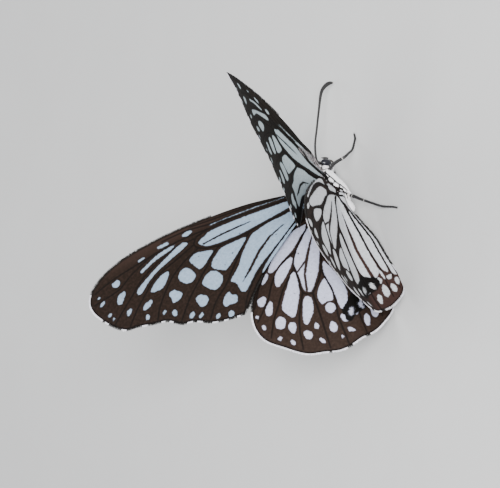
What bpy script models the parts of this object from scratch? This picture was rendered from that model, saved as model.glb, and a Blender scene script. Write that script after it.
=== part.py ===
"""Glassy tiger butterfly, life size, standing with both pairs of wings half raised.

The body lies along +X with the head in front, +Y is the animal's left and +Z is up.
The origin is on the floor, under the middle of the whole animal. Sizes in this file are
millimetres until a mesh is written, where they become metres.
"""

import math

import bpy
import bmesh
from mathutils import Vector
from mathutils.geometry import delaunay_2d_cdt

MM = 0.001

# Where the animal stands: the point midway between the forewing hinges.
BODY_HEIGHT = 6.2
BODY_SHIFT_X = 5.57
BODY_SHIFT_Y = 0.02
TOUCH_GAP = 0.30

# Wings
WING_THICKNESS = 0.50
VEIN_RISE = 0.16
VEIN_HALF_WIDTH_ROOT = 0.46
VEIN_HALF_WIDTH_TIP = 0.24
OUTLINE_STEP = 1.25
VEIN_STEP = 1.9
MEMBRANE_STEP = 2.6
HINGE_HALF_GAP = 1.7
FOREWING_HINGE = (0.0, 0.45)
HINDWING_HINGE = (-3.4, -0.85)
FOREWING_LAP = 0.5
FOREWING_LAP_WIDTH = 5.0
HINDWING_FOLD_X = 1.1
HINDWING_FOLD_RADIUS = 2.0
HINDWING_FOLD_ANGLE = math.radians(32.0)

# Pose of each wing in degrees: lift above level, sweep from straight ahead, twist about
# the span. The bend terms curve the membrane along its span and its chord.
FOREWING_POSE = {
    "left": ((56.8, 92.9, -9.6), (-0.117, 0.26, 0.056, -0.018, 0.198, 0.0, 0.0)),
    "right": ((50.2, 95.7, -22.1), (0.072, -0.083, -1.807, -0.147, -1.018, 0.9, 0.476)),
}
HINDWING_POSE = {
    "left": ((55.2, 86.1, -2.5), (-0.131, -0.031, 0.19, -0.099, 0.229, 0.0, 0.0)),
    "right": ((56.1, 85.5, -2.2), (-0.131, -0.031, 0.19, -0.099, 0.229, 0.0, 0.0)),
}

# The right forewing is curled more than the left, which draws its places together. Each
# term holds two powers, of x / 20 and of y / 10, and how far it moves a place in x and y.
RIGHT_FOREWING_DRAWN = [
    (1, 0, 0.356, -1.785), (0, 1, -0.365, -2.494), (2, 0, -2.132, 3.278),
    (1, 1, 6.624, 1.673), (0, 2, 0.546, 3.068), (3, 0, 0.823, -1.087),
    (2, 1, -1.528, -2.072), (1, 2, 1.134, -2.085), (0, 3, -0.572, 1.371),
]

# Outlines in the wing's own plane: first value along the span, second forward.
FOREWING_OUTLINE = [
    (-0.9, 0.7), (5.1, 1.9), (11.6, 3.2), (18.9, 3.8), (26.3, 4.0), (33.7, 3.5), (38.6, 1.9),
    (40.9, -0.3), (41.0, -3.1), (39.4, -6.4), (37.3, -8.9), (35.2, -9.6), (33.0, -10.5),
    (30.3, -11.5), (28.2, -13.3), (26.2, -14.0), (23.7, -15.7), (21.2, -16.6), (18.9, -17.0),
    (17.8, -16.6), (13.4, -12.1), (7.8, -7.6), (3.6, -4.0), (1.5, -2.0), (-0.9, -1.1),
]
HINDWING_OUTLINE = [
    (-0.9, 1.3), (1.6, 1.5), (3.6, 1.2), (5.6, 0.2), (9.3, -3.3), (12.8, -7.4), (14.9, -11.0),
    (16.2, -14.6), (16.5, -18.0), (15.4, -21.0), (12.6, -23.4), (9.6, -25.4), (6.7, -26.0),
    (3.9, -26.4), (1.1, -25.6), (-2.2, -24.0), (-4.7, -21.8), (-6.2, -20.0), (-6.9, -18.1),
    (-6.9, -16.5), (-6.4, -15.0), (-5.4, -12.1), (-3.8, -7.7), (-2.3, -3.9), (-0.9, -1.6),
]

# Main veins, each from its root or fork out to just short of the margin.
FOREWING_VEINS = {
    "subcosta": [(-0.4, 0.5), (5.0, 1.3), (11.4, 2.5), (17.0, 3.0), (21.5, 3.5)],
    "radius": [(-0.4, 0.1), (5.2, 0.4), (9.0, 1.0), (14.0, 1.9), (18.1, 1.9), (21.3, 0.9)],
    "radius_one": [(14.0, 1.9), (20.0, 2.9), (26.0, 3.7)],
    "radius_four": [(18.1, 1.9), (23.9, 2.3), (32.2, 1.9), (39.6, 0.6)],
    "radius_five": [(23.9, 2.3), (28.4, 1.5), (34.6, -0.2), (40.4, -1.4)],
    "media_one": [(21.7, 0.6), (26.3, 0.3), (31.5, -1.5), (36.9, -4.0), (39.3, -5.5)],
    "media_two": [(21.8, 0.0), (25.0, -1.2), (30.1, -3.0), (34.1, -5.8), (36.8, -8.4)],
    "media_three": [(21.5, -1.1), (26.0, -2.6), (29.8, -6.3), (33.0, -9.9)],
    "cell_end": [(21.3, 0.9), (21.9, -0.1), (21.5, -1.1)],
    "cubitus": [(-0.4, -0.4), (5.8, -1.4), (13.5, -2.5), (17.4, -2.6), (21.5, -1.1)],
    "cubitus_one": [(18.6, -2.2), (21.7, -5.1), (26.3, -10.6), (28.0, -12.7)],
    "cubitus_two": [(13.5, -2.5), (16.4, -6.3), (21.1, -11.1), (23.7, -15.1)],
    "anal": [(-0.4, -0.8), (5.5, -4.1), (11.9, -8.2), (16.0, -12.2), (18.3, -16.2)],
}
HINDWING_VEINS = {
    "subcosta": [(-0.4, 1.2), (3.3, 0.2), (8.7, -3.9), (12.6, -8.6), (15.0, -13.6)],
    "radius": [(-0.4, 0.3), (2.5, -2.4), (5.6, -6.2), (7.8, -10.3)],
    "radial_sector": [(5.6, -6.2), (9.0, -9.6), (12.5, -12.9), (15.6, -17.2)],
    "media_one": [(7.8, -10.3), (11.0, -14.7), (13.1, -17.6), (14.6, -20.9)],
    "cell_end": [(7.8, -10.3), (7.9, -12.7), (7.2, -15.0), (5.5, -15.7)],
    "media_two": [(7.2, -15.0), (8.4, -18.0), (9.2, -22.0), (9.5, -24.7)],
    "media_three": [(5.5, -15.7), (6.0, -19.0), (6.1, -25.2)],
    "cubitus": [(-0.4, -0.3), (1.4, -4.4), (2.7, -8.6), (3.7, -12.2), (5.5, -15.7)],
    "cubitus_one": [(3.6, -12.0), (3.0, -16.6), (2.5, -20.1), (1.5, -24.7)],
    "cubitus_two": [(2.6, -8.4), (1.4, -12.6), (0.3, -17.4), (-1.2, -23.6)],
    "anal_two": [(-0.4, -0.9), (-0.8, -5.0), (-2.3, -11.0), (-3.6, -16.5), (-4.2, -21.2)],
    "anal_three": [(-0.5, -1.4), (-2.0, -5.2), (-4.0, -10.5), (-5.4, -15.6), (-6.1, -18.9)],
}

# Body, as stations from front to back: place along the body, height of the centre,
# half width and half height.
THORAX = [
    (2.9, -1.15, 0.74, 0.95), (2.5, -1.05, 1.20, 1.35), (1.7, -0.95, 1.62, 1.65),
    (0.6, -1.12, 1.88, 2.08), (-0.7, -1.50, 1.95, 2.50), (-2.0, -1.77, 1.80, 2.52),
    (-3.0, -1.92, 1.50, 2.18), (-3.9, -2.02, 1.05, 1.48),
]
ABDOMEN = [
    (-4.2, -1.9, 0.98, 1.15), (-5.0, -2.05, 1.14, 1.36), (-7.5, -2.4, 1.24, 1.46),
    (-10.5, -2.8, 1.26, 1.44), (-13.5, -3.15, 1.20, 1.34), (-16.5, -3.45, 1.06, 1.16),
    (-19.0, -3.7, 0.84, 0.92), (-20.8, -3.85, 0.56, 0.62), (-21.7, -3.95, 0.28, 0.30),
]
HEAD = [
    (4.95, -1.30, 0.42, 0.47), (4.7, -1.28, 0.76, 0.86), (4.3, -1.24, 0.97, 1.10),
    (3.85, -1.20, 1.00, 1.14), (3.45, -1.14, 0.90, 1.02), (3.2, -1.08, 0.70, 0.80),
]
EYE_CENTRE = (3.98, 1.10, -1.20)
EYE_RADIUS_LENGTH = 0.70
EYE_RADIUS_HEIGHT = 0.93
EYE_BULGE_OUT = 0.60
EYE_BULGE_IN = 0.14

# Feelers, palps, tongue and legs, as centre lines on the right side with half thickness.
ANTENNA_RIGHT = [
    (4.5, -0.42, -0.5), (4.85, -0.5, 0.05), (7.5, -1.3, -0.15), (10.3, -2.3, -0.9),
    (13.5, -3.4, -1.8), (16.2, -4.4, -2.6), (17.4, -4.8, -3.4), (18.1, -5.05, -4.4),
    (18.3, -5.1, -5.3),
]
ANTENNA_LEFT = [
    (4.5, 0.42, -0.5), (4.85, 0.5, 0.05), (7.3, 1.7, 0.25), (10.0, 3.1, 0.2),
    (13.0, 4.7, -0.1), (15.5, 6.1, -0.6), (16.7, 6.8, -1.2), (17.4, 7.2, -2.1),
    (17.6, 7.4, -3.0),
]
ANTENNA_HALF = [0.25, 0.25, 0.25, 0.25, 0.25, 0.29, 0.38, 0.38, 0.14]
PALP = [(4.75, -0.6, -2.35), (5.2, -0.6, -2.2), (5.4, -0.58, -1.6), (5.45, -0.55, -1.0)]
PALP_HALF = [0.27, 0.27, 0.26, 0.12]
TONGUE_CENTRE = (5.05, -2.9)
TONGUE_OUTER = 0.62
TONGUE_INNER = 0.17
TONGUE_TURNS = 1.3
TONGUE_HALF = 0.14
TONGUE_TAPER = 0.3
TONGUE_START = math.radians(140.0)
FORELEG = [(1.9, -0.75, -2.0), (2.9, -0.6, -2.74), (3.5, -0.55, -2.87), (3.9, -0.5, -2.82)]
FORELEG_HALF = [0.30, 0.28, 0.26, 0.14]
MIDLEG = [
    (2.5, -0.9, -1.30), (2.28, -2.9, -1.40), (2.10, -4.7, -2.35), (3.1, -4.6, -3.5),
    (4.3, -4.25, -4.75), (6.0, -4.2, -5.7), (6.7, -4.35, -6.0), (7.5, -4.55, -6.0),
]
MIDLEG_HALF = [0.36, 0.34, 0.29, 0.27, 0.27, 0.26, 0.26, 0.22]
HINDLEG = [
    (-2.4, -0.9, -2.9), (-4.5, -2.6, -3.15), (-5.7, -3.5, -3.35), (-7.2, -4.55, -4.05),
    (-9.0, -5.8, -5.1), (-10.1, -7.0, -5.9), (-10.5, -7.45, -6.0), (-11.3, -8.25, -6.0),
]
HINDLEG_HALF = [0.36, 0.34, 0.29, 0.27, 0.27, 0.26, 0.26, 0.22]

# How finely each form is divided.
BODY_SIDES = 20
BODY_STEP = 0.6
ABDOMEN_STEP = 1.3
HEAD_STEP = 0.4
LIMB_SIDES = 8
FEELER_STEP = 1.1
LEG_STEP = 0.8
EYE_SEGMENTS = 16
EYE_RINGS = 10
TONGUE_POINTS = 26
TONGUE_SIDES = 8
PLAN_MERGE = 0.05

FLOOR_CUT_WIDTH = 90.0
FLOOR_CUT_DEPTH = 4.0

COLOURS = {
    "forewing": ((0.16, 0.12, 0.10, 1.0), 0.55),
    "hindwing": ((0.20, 0.15, 0.13, 1.0), 0.55),
    "body": ((0.035, 0.032, 0.035, 1.0), 0.65),
    "abdomen": ((0.42, 0.36, 0.30, 1.0), 0.70),
    "eye": ((0.030, 0.036, 0.055, 1.0), 0.20),
    "leg": ((0.020, 0.018, 0.018, 1.0), 0.45),
}


def clear_scene():
    for old in list(bpy.data.objects):
        bpy.data.objects.remove(old, do_unlink=True)


def place(x, y, z):
    """A point of the body's own frame, in metres over the floor."""
    return Vector((x + BODY_SHIFT_X, y + BODY_SHIFT_Y, z + BODY_HEIGHT)) * MM


def new_object(name, bm, finish):
    """Write a mesh made in metres as an object with its own Principled material."""
    mesh = bpy.data.meshes.new(name)
    bmesh.ops.recalc_face_normals(bm, faces=bm.faces)
    bm.to_mesh(mesh)
    bm.free()
    mesh.shade_smooth()
    mesh.set_sharp_from_angle(angle=math.radians(50.0))
    colour, roughness = COLOURS[finish]
    material = bpy.data.materials.new(name)
    material.use_nodes = True
    shader = material.node_tree.nodes["Principled BSDF"]
    shader.inputs["Base Color"].default_value = colour
    shader.inputs["Roughness"].default_value = roughness
    shader.inputs["Metallic"].default_value = 0.0
    mesh.materials.append(material)
    thing = bpy.data.objects.new(name, mesh)
    bpy.context.collection.objects.link(thing)
    return thing


def as_cutter(thing):
    thing.hide_render = True
    thing.display_type = "WIRE"
    return thing


def cut_with(thing, cutter):
    """Take a cutter's space out of an object."""
    cut = thing.modifiers.new("clear_of_" + cutter.name, "BOOLEAN")
    cut.operation = "DIFFERENCE"
    cut.solver = "EXACT"
    cut.object = cutter


def smooth_line(points, step):
    """Points about one step apart on a smooth curve through points of any size."""
    line = []
    for i in range(len(points) - 1):
        before, after = points[max(i - 1, 0)], points[min(i + 2, len(points) - 1)]
        pieces = max(1, round(math.dist(points[i], points[i + 1]) / step))
        for k in range(pieces):
            t = k / pieces
            line.append(tuple(
                s + 0.5 * t * (e - b + t * (2 * b - 5 * s + 4 * e - a + t * (3 * (s - e) + a - b)))
                for b, s, e, a in zip(before, points[i], points[i + 1], after)
            ))
    line.append(tuple(points[-1]))
    return line


def close_rings(bm, rings):
    """Join rings of points into one closed skin with flat ends."""
    sides = len(rings[0])
    for ring, following in zip(rings, rings[1:]):
        for k in range(sides):
            n = (k + 1) % sides
            bm.faces.new((ring[k], ring[n], following[n], following[k]))
    bm.faces.new(rings[0])
    bm.faces.new(rings[-1])
    bmesh.ops.triangulate(bm, faces=bm.faces)


def body_loft(stations, sides, step, grow=0.0):
    """A closed body of ellipses set along X; grow makes it larger all round."""
    bm = bmesh.new()
    line = smooth_line(stations, step)
    ends = {0: grow, len(line) - 1: -grow}
    rings = []
    for i, (x, z, half_width, half_height) in enumerate(line):
        ring = []
        for k in range(sides):
            angle = math.tau * k / sides
            ring.append(bm.verts.new(place(
                x + ends.get(i, 0.0),
                (half_width + grow) * math.cos(angle),
                z + (half_height + grow) * math.sin(angle),
            )))
        rings.append(ring)
    close_rings(bm, rings)
    return bm


def tube(line, sides):
    """A closed tapering tube along points that carry their half thickness last."""
    bm = bmesh.new()
    centres = [Vector(p[:3]) for p in line]
    across = None
    rings = []
    for i, centre in enumerate(centres):
        ahead = (centres[min(i + 1, len(line) - 1)] - centres[max(i - 1, 0)]).normalized()
        if across is None:
            across = ahead.orthogonal()
        across = (across - ahead * across.dot(ahead)).normalized()
        upward = ahead.cross(across)
        ring = []
        for k in range(sides):
            angle = math.tau * (k + 0.5) / sides
            offset = across * math.cos(angle) + upward * math.sin(angle)
            ring.append(bm.verts.new(place(*(centre + offset * line[i][3]))))
        rings.append(ring)
    close_rings(bm, rings)
    return bm


def limb(points, halves, step, mirror=1.0):
    """A leg, palp or feeler along its centre line, on the right, or mirrored on the left."""
    line = [(x, mirror * y, z, half) for (x, y, z), half in zip(points, halves)]
    return tube(smooth_line(line, step), LIMB_SIDES)


def eye_lens(side, grow=0.0):
    """A dome that bulges far outwards and a little inwards."""
    bm = bmesh.new()
    bmesh.ops.create_uvsphere(bm, u_segments=EYE_SEGMENTS, v_segments=EYE_RINGS, radius=1.0)
    x, y, z = EYE_CENTRE
    for vert in bm.verts:
        bulge = EYE_BULGE_OUT if vert.co.z > 0.0 else EYE_BULGE_IN
        vert.co = place(
            x + vert.co.x * (EYE_RADIUS_LENGTH + grow),
            side * (y + vert.co.z * (bulge + grow)),
            z + vert.co.y * (EYE_RADIUS_HEIGHT + grow),
        )
    bmesh.ops.triangulate(bm, faces=bm.faces)
    return bm


def tongue_coil():
    """The tongue rolled up under the head, from its outer turn in to its tip."""
    x, z = TONGUE_CENTRE
    line = []
    for i in range(TONGUE_POINTS + 1):
        t = i / TONGUE_POINTS
        angle = TONGUE_START - math.tau * TONGUE_TURNS * t
        radius = TONGUE_OUTER + (TONGUE_INNER - TONGUE_OUTER) * t
        half = TONGUE_HALF * (1.0 - TONGUE_TAPER * t)
        line.append((x + radius * math.cos(angle), 0.0, z + radius * math.sin(angle), half))
    return tube(line, TONGUE_SIDES)


def wing_axes(side, pose):
    """Span, forward and upper directions of a wing; side is 1 left and -1 right."""
    lift, sweep, twist = (math.radians(v) for v in pose)
    outward = Vector((0.0, side * math.cos(lift), math.sin(lift)))
    ahead = Vector((1.0, 0.0, 0.0))
    span = ahead * math.cos(sweep) + outward * math.sin(sweep)
    chord = ahead * math.sin(sweep) - outward * math.cos(sweep)
    upper = span.cross(chord) * -side
    turned = chord * math.cos(twist) + upper * math.sin(twist)
    return span, turned, upper * math.cos(twist) - chord * math.sin(twist)


def membrane_rise(bend, x, y):
    """How far the membrane stands over its flat plane."""
    return (
        bend[0] * x * x / 50.0 + bend[1] * x * y / 50.0 + bend[2] * y * y / 50.0
        + bend[3] * x ** 3 / 2500.0 + bend[4] * y ** 3 / 1000.0
        + bend[5] * x * x * y / 2500.0 + bend[6] * x * y * y / 1000.0
    )


def membrane_point(wing, side, x, y):
    """A point in the middle of the membrane, in the body's frame."""
    side_name = "left" if side > 0 else "right"
    if wing == "fore" and side < 0:
        moved = [(x / 20.0) ** a * (y / 10.0) ** b for a, b, _, _ in RIGHT_FOREWING_DRAWN]
        shift_x = sum(share * term[2] for share, term in zip(moved, RIGHT_FOREWING_DRAWN))
        shift_y = sum(share * term[3] for share, term in zip(moved, RIGHT_FOREWING_DRAWN))
        x, y = x + shift_x, y + shift_y
    if wing == "fore":
        (pose, bend), hinge = FOREWING_POSE[side_name], FOREWING_HINGE
        lift = FOREWING_LAP * smooth_ramp(-y / FOREWING_LAP_WIDTH)
    else:
        (pose, bend), hinge = HINDWING_POSE[side_name], HINDWING_HINGE
        lift = 0.0
        inward = HINDWING_FOLD_X - x
        if inward > 0.0:
            turn = min(inward / HINDWING_FOLD_RADIUS, HINDWING_FOLD_ANGLE)
            straight = inward - turn * HINDWING_FOLD_RADIUS
            x = HINDWING_FOLD_X - HINDWING_FOLD_RADIUS * math.sin(turn)
            x -= straight * math.cos(turn)
            lift = -HINDWING_FOLD_RADIUS * (1.0 - math.cos(turn)) - straight * math.sin(turn)
    span, chord, upper = wing_axes(side, pose)
    base = Vector((hinge[0], side * HINGE_HALF_GAP, hinge[1]))
    return base + span * x + chord * y + upper * (lift + membrane_rise(bend, x, y))


def smooth_ramp(t):
    t = min(max(t, 0.0), 1.0)
    return t * t * (3.0 - 2.0 * t)


def membrane_normal(wing, side, x, y):
    """The upper side's direction at a point of the membrane."""
    reach = 0.05
    along = membrane_point(wing, side, x + reach, y) - membrane_point(wing, side, x - reach, y)
    ahead = membrane_point(wing, side, x, y + reach) - membrane_point(wing, side, x, y - reach)
    return along.cross(ahead).normalized() * -side


def inside(outline, x, y):
    """Whether a point of the wing's plane is inside its outline."""
    hit = False
    for (x1, y1), (x2, y2) in zip(outline, outline[1:] + outline[:1]):
        if (y1 > y) != (y2 > y) and x < x1 + (y - y1) * (x2 - x1) / (y2 - y1):
            hit = not hit
    return hit


def nearest_on_line(line, x, y):
    """Distance from a point to a line, and how far along it the nearest place is, 0 to 1."""
    best, place_on = 1e9, 0.0
    count = len(line) - 1
    for i in range(count):
        (x1, y1), (x2, y2) = line[i], line[i + 1]
        dx, dy = x2 - x1, y2 - y1
        t = ((x - x1) * dx + (y - y1) * dy) / max(dx * dx + dy * dy, 1e-9)
        t = min(max(t, 0.0), 1.0)
        gap = math.hypot(x - x1 - t * dx, y - y1 - t * dy)
        if gap < best:
            best, place_on = gap, (i + t) / count
    return best, place_on


def vein_half_width(t):
    return VEIN_HALF_WIDTH_ROOT + (VEIN_HALF_WIDTH_TIP - VEIN_HALF_WIDTH_ROOT) * t


def wing_plan(outline_points, veins):
    """Split a wing's plane into triangles that follow its outline and its veins."""
    outline = smooth_line(outline_points, OUTLINE_STEP)
    points = [Vector(p) for p in outline]
    edges = [(i, (i + 1) % len(outline)) for i in range(len(outline))]
    lines = []
    for vein in veins.values():
        line = smooth_line(vein, VEIN_STEP)
        lines.append(line)
        count = len(line) - 1
        rails = [[line[0]], list(line), [line[0]]]
        for i in range(1, count):
            ahead = (Vector(line[i + 1]) - Vector(line[i - 1])).normalized()
            across = Vector((-ahead.y, ahead.x)) * vein_half_width(i / count)
            rails[0].append(tuple(Vector(line[i]) + across))
            rails[2].append(tuple(Vector(line[i]) - across))
        rails[0].append(line[-1])
        rails[2].append(line[-1])
        for rail in rails:
            first = len(points)
            points.extend(Vector(p) for p in rail)
            edges.extend((first + i, first + i + 1) for i in range(count))
    taken = list(points)
    low_x, high_x = min(p[0] for p in outline), max(p[0] for p in outline)
    low_y, high_y = min(p[1] for p in outline), max(p[1] for p in outline)
    row = 0
    y = low_y
    while y < high_y:
        x = low_x + (MEMBRANE_STEP / 2.0 if row % 2 else 0.0)
        while x < high_x:
            spot = Vector((x, y))
            room = min((spot - p).length for p in taken)
            if inside(outline, x, y) and room > MEMBRANE_STEP * 0.42:
                points.append(spot)
            x += MEMBRANE_STEP
        y += MEMBRANE_STEP * 0.87
        row += 1
    found = delaunay_2d_cdt(points, edges, [], 0, PLAN_MERGE)
    plan, triangles = found[0], []
    for face in found[2]:
        middle = sum((plan[i] for i in face), Vector((0.0, 0.0))) / len(face)
        if inside(outline, middle.x, middle.y):
            triangles.append(tuple(face))
    heights = []
    for p in plan:
        rise = 0.0
        for line in lines:
            gap, t = nearest_on_line(line, p.x, p.y)
            rise = max(rise, VEIN_RISE * (1.0 - gap / vein_half_width(t)))
        heights.append(rise)
    return plan, triangles, heights


def wing_solid(wing, side, plan, triangles, heights):
    """The same triangles on both faces of a membrane, joined round its edge."""
    bm = bmesh.new()
    used = sorted({i for face in triangles for i in face})
    upper, lower = {}, {}
    for i in used:
        x, y = plan[i]
        middle = membrane_point(wing, side, x, y)
        away = membrane_normal(wing, side, x, y) * (WING_THICKNESS / 2.0 + heights[i])
        upper[i] = bm.verts.new(place(*(middle + away)))
        lower[i] = bm.verts.new(place(*(middle - away)))
    border = {}
    for a, b, c in triangles:
        bm.faces.new((upper[a], upper[b], upper[c]))
        bm.faces.new((lower[c], lower[b], lower[a]))
        for start, end in ((a, b), (b, c), (c, a)):
            if (end, start) in border:
                del border[(end, start)]
            else:
                border[(start, end)] = True
    for start, end in border:
        bm.faces.new((upper[end], upper[start], lower[start]))
        bm.faces.new((upper[end], lower[start], lower[end]))
    return bm


def build_body():
    """Head, eyes, thorax and abdomen, and the cutters that keep their neighbours clear."""
    new_object("thorax", body_loft(THORAX, BODY_SIDES, BODY_STEP), "body")
    new_object("abdomen", body_loft(ABDOMEN, BODY_SIDES, ABDOMEN_STEP), "abdomen")
    head = new_object("head", body_loft(HEAD, BODY_SIDES, HEAD_STEP), "body")
    room = {
        "thorax": as_cutter(new_object(
            "room_of_thorax", body_loft(THORAX, BODY_SIDES, BODY_STEP, TOUCH_GAP), "body")),
        "head": as_cutter(new_object(
            "room_of_head", body_loft(HEAD, BODY_SIDES, HEAD_STEP, TOUCH_GAP), "body")),
    }
    for side, name in ((1, "left"), (-1, "right")):
        new_object("eye_" + name, eye_lens(side), "eye")
        socket = as_cutter(new_object("socket_" + name, eye_lens(side, TOUCH_GAP), "eye"))
        cut_with(head, socket)
    floor = bmesh.new()
    bmesh.ops.create_cube(floor, size=1.0)
    for vert in floor.verts:
        vert.co = Vector((
            vert.co.x * FLOOR_CUT_WIDTH, vert.co.y * FLOOR_CUT_WIDTH,
            (vert.co.z - 0.5) * FLOOR_CUT_DEPTH,
        )) * MM
    room["floor"] = as_cutter(new_object("room_of_floor", floor, "body"))
    return room


def build_limbs(room):
    """Feelers, palps, rolled tongue and the three pairs of legs."""
    feelers = {"left": (ANTENNA_LEFT, 1.0), "right": (ANTENNA_RIGHT, 1.0)}
    for name, (points, mirror) in feelers.items():
        feeler = new_object(
            "antenna_" + name, limb(points, ANTENNA_HALF, FEELER_STEP, mirror), "leg")
        cut_with(feeler, room["head"])
    for name, mirror in (("right", 1.0), ("left", -1.0)):
        palp = new_object("palp_" + name, limb(PALP, PALP_HALF, LEG_STEP, mirror), "body")
        cut_with(palp, room["head"])
        fore = new_object("foreleg_" + name, limb(FORELEG, FORELEG_HALF, LEG_STEP, mirror), "leg")
        cut_with(fore, room["thorax"])
        for leg, points, halves in (
            ("midleg_", MIDLEG, MIDLEG_HALF), ("hindleg_", HINDLEG, HINDLEG_HALF),
        ):
            thing = new_object(leg + name, limb(points, halves, LEG_STEP, mirror), "leg")
            cut_with(thing, room["thorax"])
            cut_with(thing, room["floor"])
    tongue = new_object("proboscis", tongue_coil(), "leg")
    cut_with(tongue, room["head"])


def build_wings(room):
    """Both forewings and both hindwings, cut clear of the body and of the floor."""
    fore_plan = wing_plan(FOREWING_OUTLINE, FOREWING_VEINS)
    hind_plan = wing_plan(HINDWING_OUTLINE, HINDWING_VEINS)
    for side, name in ((1, "left"), (-1, "right")):
        fore = new_object("forewing_" + name, wing_solid("fore", side, *fore_plan), "forewing")
        hind = new_object("hindwing_" + name, wing_solid("hind", side, *hind_plan), "hindwing")
        cut_with(fore, room["thorax"])
        cut_with(hind, room["thorax"])
        cut_with(hind, room["floor"])


clear_scene()
body_room = build_body()
build_limbs(body_room)
build_wings(body_room)
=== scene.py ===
"""A living glassy tiger butterfly, standing with both pairs of wings half raised."""

import math

import bpy
import numpy as np
from mathutils import Matrix, Vector
from mathutils.geometry import delaunay_2d_cdt


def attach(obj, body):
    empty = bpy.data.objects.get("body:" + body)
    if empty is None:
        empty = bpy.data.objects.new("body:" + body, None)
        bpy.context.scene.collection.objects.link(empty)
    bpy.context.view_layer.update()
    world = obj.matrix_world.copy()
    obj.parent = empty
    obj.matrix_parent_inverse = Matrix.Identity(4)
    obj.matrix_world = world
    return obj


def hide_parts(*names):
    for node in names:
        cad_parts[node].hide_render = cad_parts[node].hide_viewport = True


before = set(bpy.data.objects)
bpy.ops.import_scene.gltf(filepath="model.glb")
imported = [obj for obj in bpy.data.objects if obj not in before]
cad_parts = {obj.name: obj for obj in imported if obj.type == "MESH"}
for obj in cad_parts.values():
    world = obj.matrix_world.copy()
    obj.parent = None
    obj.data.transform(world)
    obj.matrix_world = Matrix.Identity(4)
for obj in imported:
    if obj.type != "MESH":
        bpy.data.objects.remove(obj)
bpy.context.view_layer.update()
bpy.ops.object.select_all(action="DESELECT")


# Thorax, abdomen and head.
# One black skin of chitin over the flight muscles, the ringed abdomen and the head,
# grown together at the neck and the waist. Every piece is modelled in millimetres from the
# point between the forewing hinges and then set in its place on the feet.
BODY_AT = Vector((5.57, 0.02, 6.2))
FOOT_LEVEL = -6.2
TO_FRAME = Matrix.Scale(0.001, 4) @ Matrix.Translation(BODY_AT)
COAT_DEPTH = 0.16
LEAST_HALF = 0.08
# Stations along the body: place, height, half width and half height. The thorax, abdomen and
# head are measured over their coat.
THORAX = [
    (2.9, -1.15, 0.74, 0.95), (2.5, -1.05, 1.20, 1.35), (1.7, -0.95, 1.62, 1.65),
    (0.6, -1.12, 1.88, 2.08), (-0.7, -1.50, 1.95, 2.50), (-2.0, -1.77, 1.80, 2.52),
    (-3.0, -1.92, 1.50, 2.18), (-3.9, -2.02, 1.05, 1.48),
]
ABDOMEN = [
    (-4.2, -1.9, 0.98, 1.15), (-5.0, -2.05, 1.14, 1.36), (-7.5, -2.4, 1.24, 1.46),
    (-10.5, -2.8, 1.26, 1.44), (-13.5, -3.15, 1.20, 1.34), (-16.5, -3.45, 1.06, 1.16),
    (-19.0, -3.7, 0.84, 0.92), (-20.8, -3.85, 0.56, 0.62), (-21.7, -3.95, 0.28, 0.30),
]
HEAD = [
    (4.95, -1.30, 0.42, 0.47), (4.7, -1.28, 0.76, 0.86), (4.3, -1.24, 0.97, 1.10),
    (3.85, -1.20, 1.00, 1.14), (3.45, -1.14, 0.90, 1.02), (3.2, -1.08, 0.70, 0.80),
]
NECK = [(3.6, -1.3, 0.66, 0.84), (3.1, -1.4, 0.66, 0.9), (2.5, -1.2, 0.9, 1.1)]
WAIST = [(-3.3, -1.95, 1.1, 1.6), (-4.0, -1.98, 0.88, 1.15), (-4.9, -2.05, 0.95, 1.15)]
# The swellings of each side, at the abdomen's base and at the hind leg's root: middle,
# half sizes and slope in degrees.
SWELLINGS = [
    ((-4.7, 0.95, -2.55), (1.5, 0.45, 0.85), 25.0), ((-2.64, 1.1, -3.15), (0.75, 0.45, 0.5), 0.0),
]
# The abdomen's rings: where they start, their length, how far they are drawn in at each
# joint and over what reach, and how much they swell between the joints.
RING_START = 4.4
RING_LENGTH = 2.15
RING_PINCH = 0.075
RING_REACH = 0.09
RING_SWELL = 0.035
RING_TRIM = 0.02
SKIN_GRAIN = 0.085
# The furrow along the back of the thorax, and the groove across it between the wing roots.
FURROW_HALF = 0.12
FURROW_DEPTH = 0.09
GROOVE_AT = -2.0
GROOVE_HALF = 0.1
GROOVE_DEPTH = 0.07


def smooth_line(points, step):
    """Points set at an even step along the smooth curve through the given ones."""
    rows = np.array(points, float)
    ends = np.vstack([2 * rows[0] - rows[1], rows, 2 * rows[-1] - rows[-2]])
    line = []
    for a, b, c, d in zip(ends, ends[1:], ends[2:], ends[3:]):
        count = max(1, int(round(np.linalg.norm((c - b)[:2]) / step)))
        for t in np.arange(count) / count:
            line.append(0.5 * (2 * b + (c - a) * t + (2 * a - 5 * b + 4 * c - d) * t * t
                               + (3 * b - a - 3 * c + d) * t ** 3))
    line.append(rows[-1])
    return np.array(line)


def smooth_loop(points, step):
    """The same smooth curve, closed back to the first point."""
    return smooth_line(points + points[:1], step)


def draw_out(stations):
    """Draws a disc out through the stations into a closed body of rings along X."""
    x, z, width, height = stations[0]
    bpy.ops.mesh.primitive_circle_add(
        vertices=40, radius=1.0, fill_type="NGON", location=(x, 0, z),
        rotation=(0, math.pi / 2, 0))
    bpy.ops.object.transform_apply()
    bpy.ops.object.mode_set(mode="EDIT")
    bpy.ops.mesh.select_all(action="SELECT")
    bpy.ops.transform.resize(value=(1, width, height), center_override=(x, 0, z))
    for last, new in zip(stations, stations[1:]):
        step = (new[0] - last[0], 0, new[1] - last[1])
        bpy.ops.mesh.extrude_region_move(TRANSFORM_OT_translate={"value": step})
        bpy.ops.transform.resize(
            value=(1, new[2] / last[2], new[3] / last[3]), center_override=(new[0], 0, new[1]))
    bpy.ops.mesh.select_all(action="SELECT")
    bpy.ops.mesh.normals_make_consistent(inside=False)
    bpy.ops.object.mode_set(mode="OBJECT")
    return bpy.context.object


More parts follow.
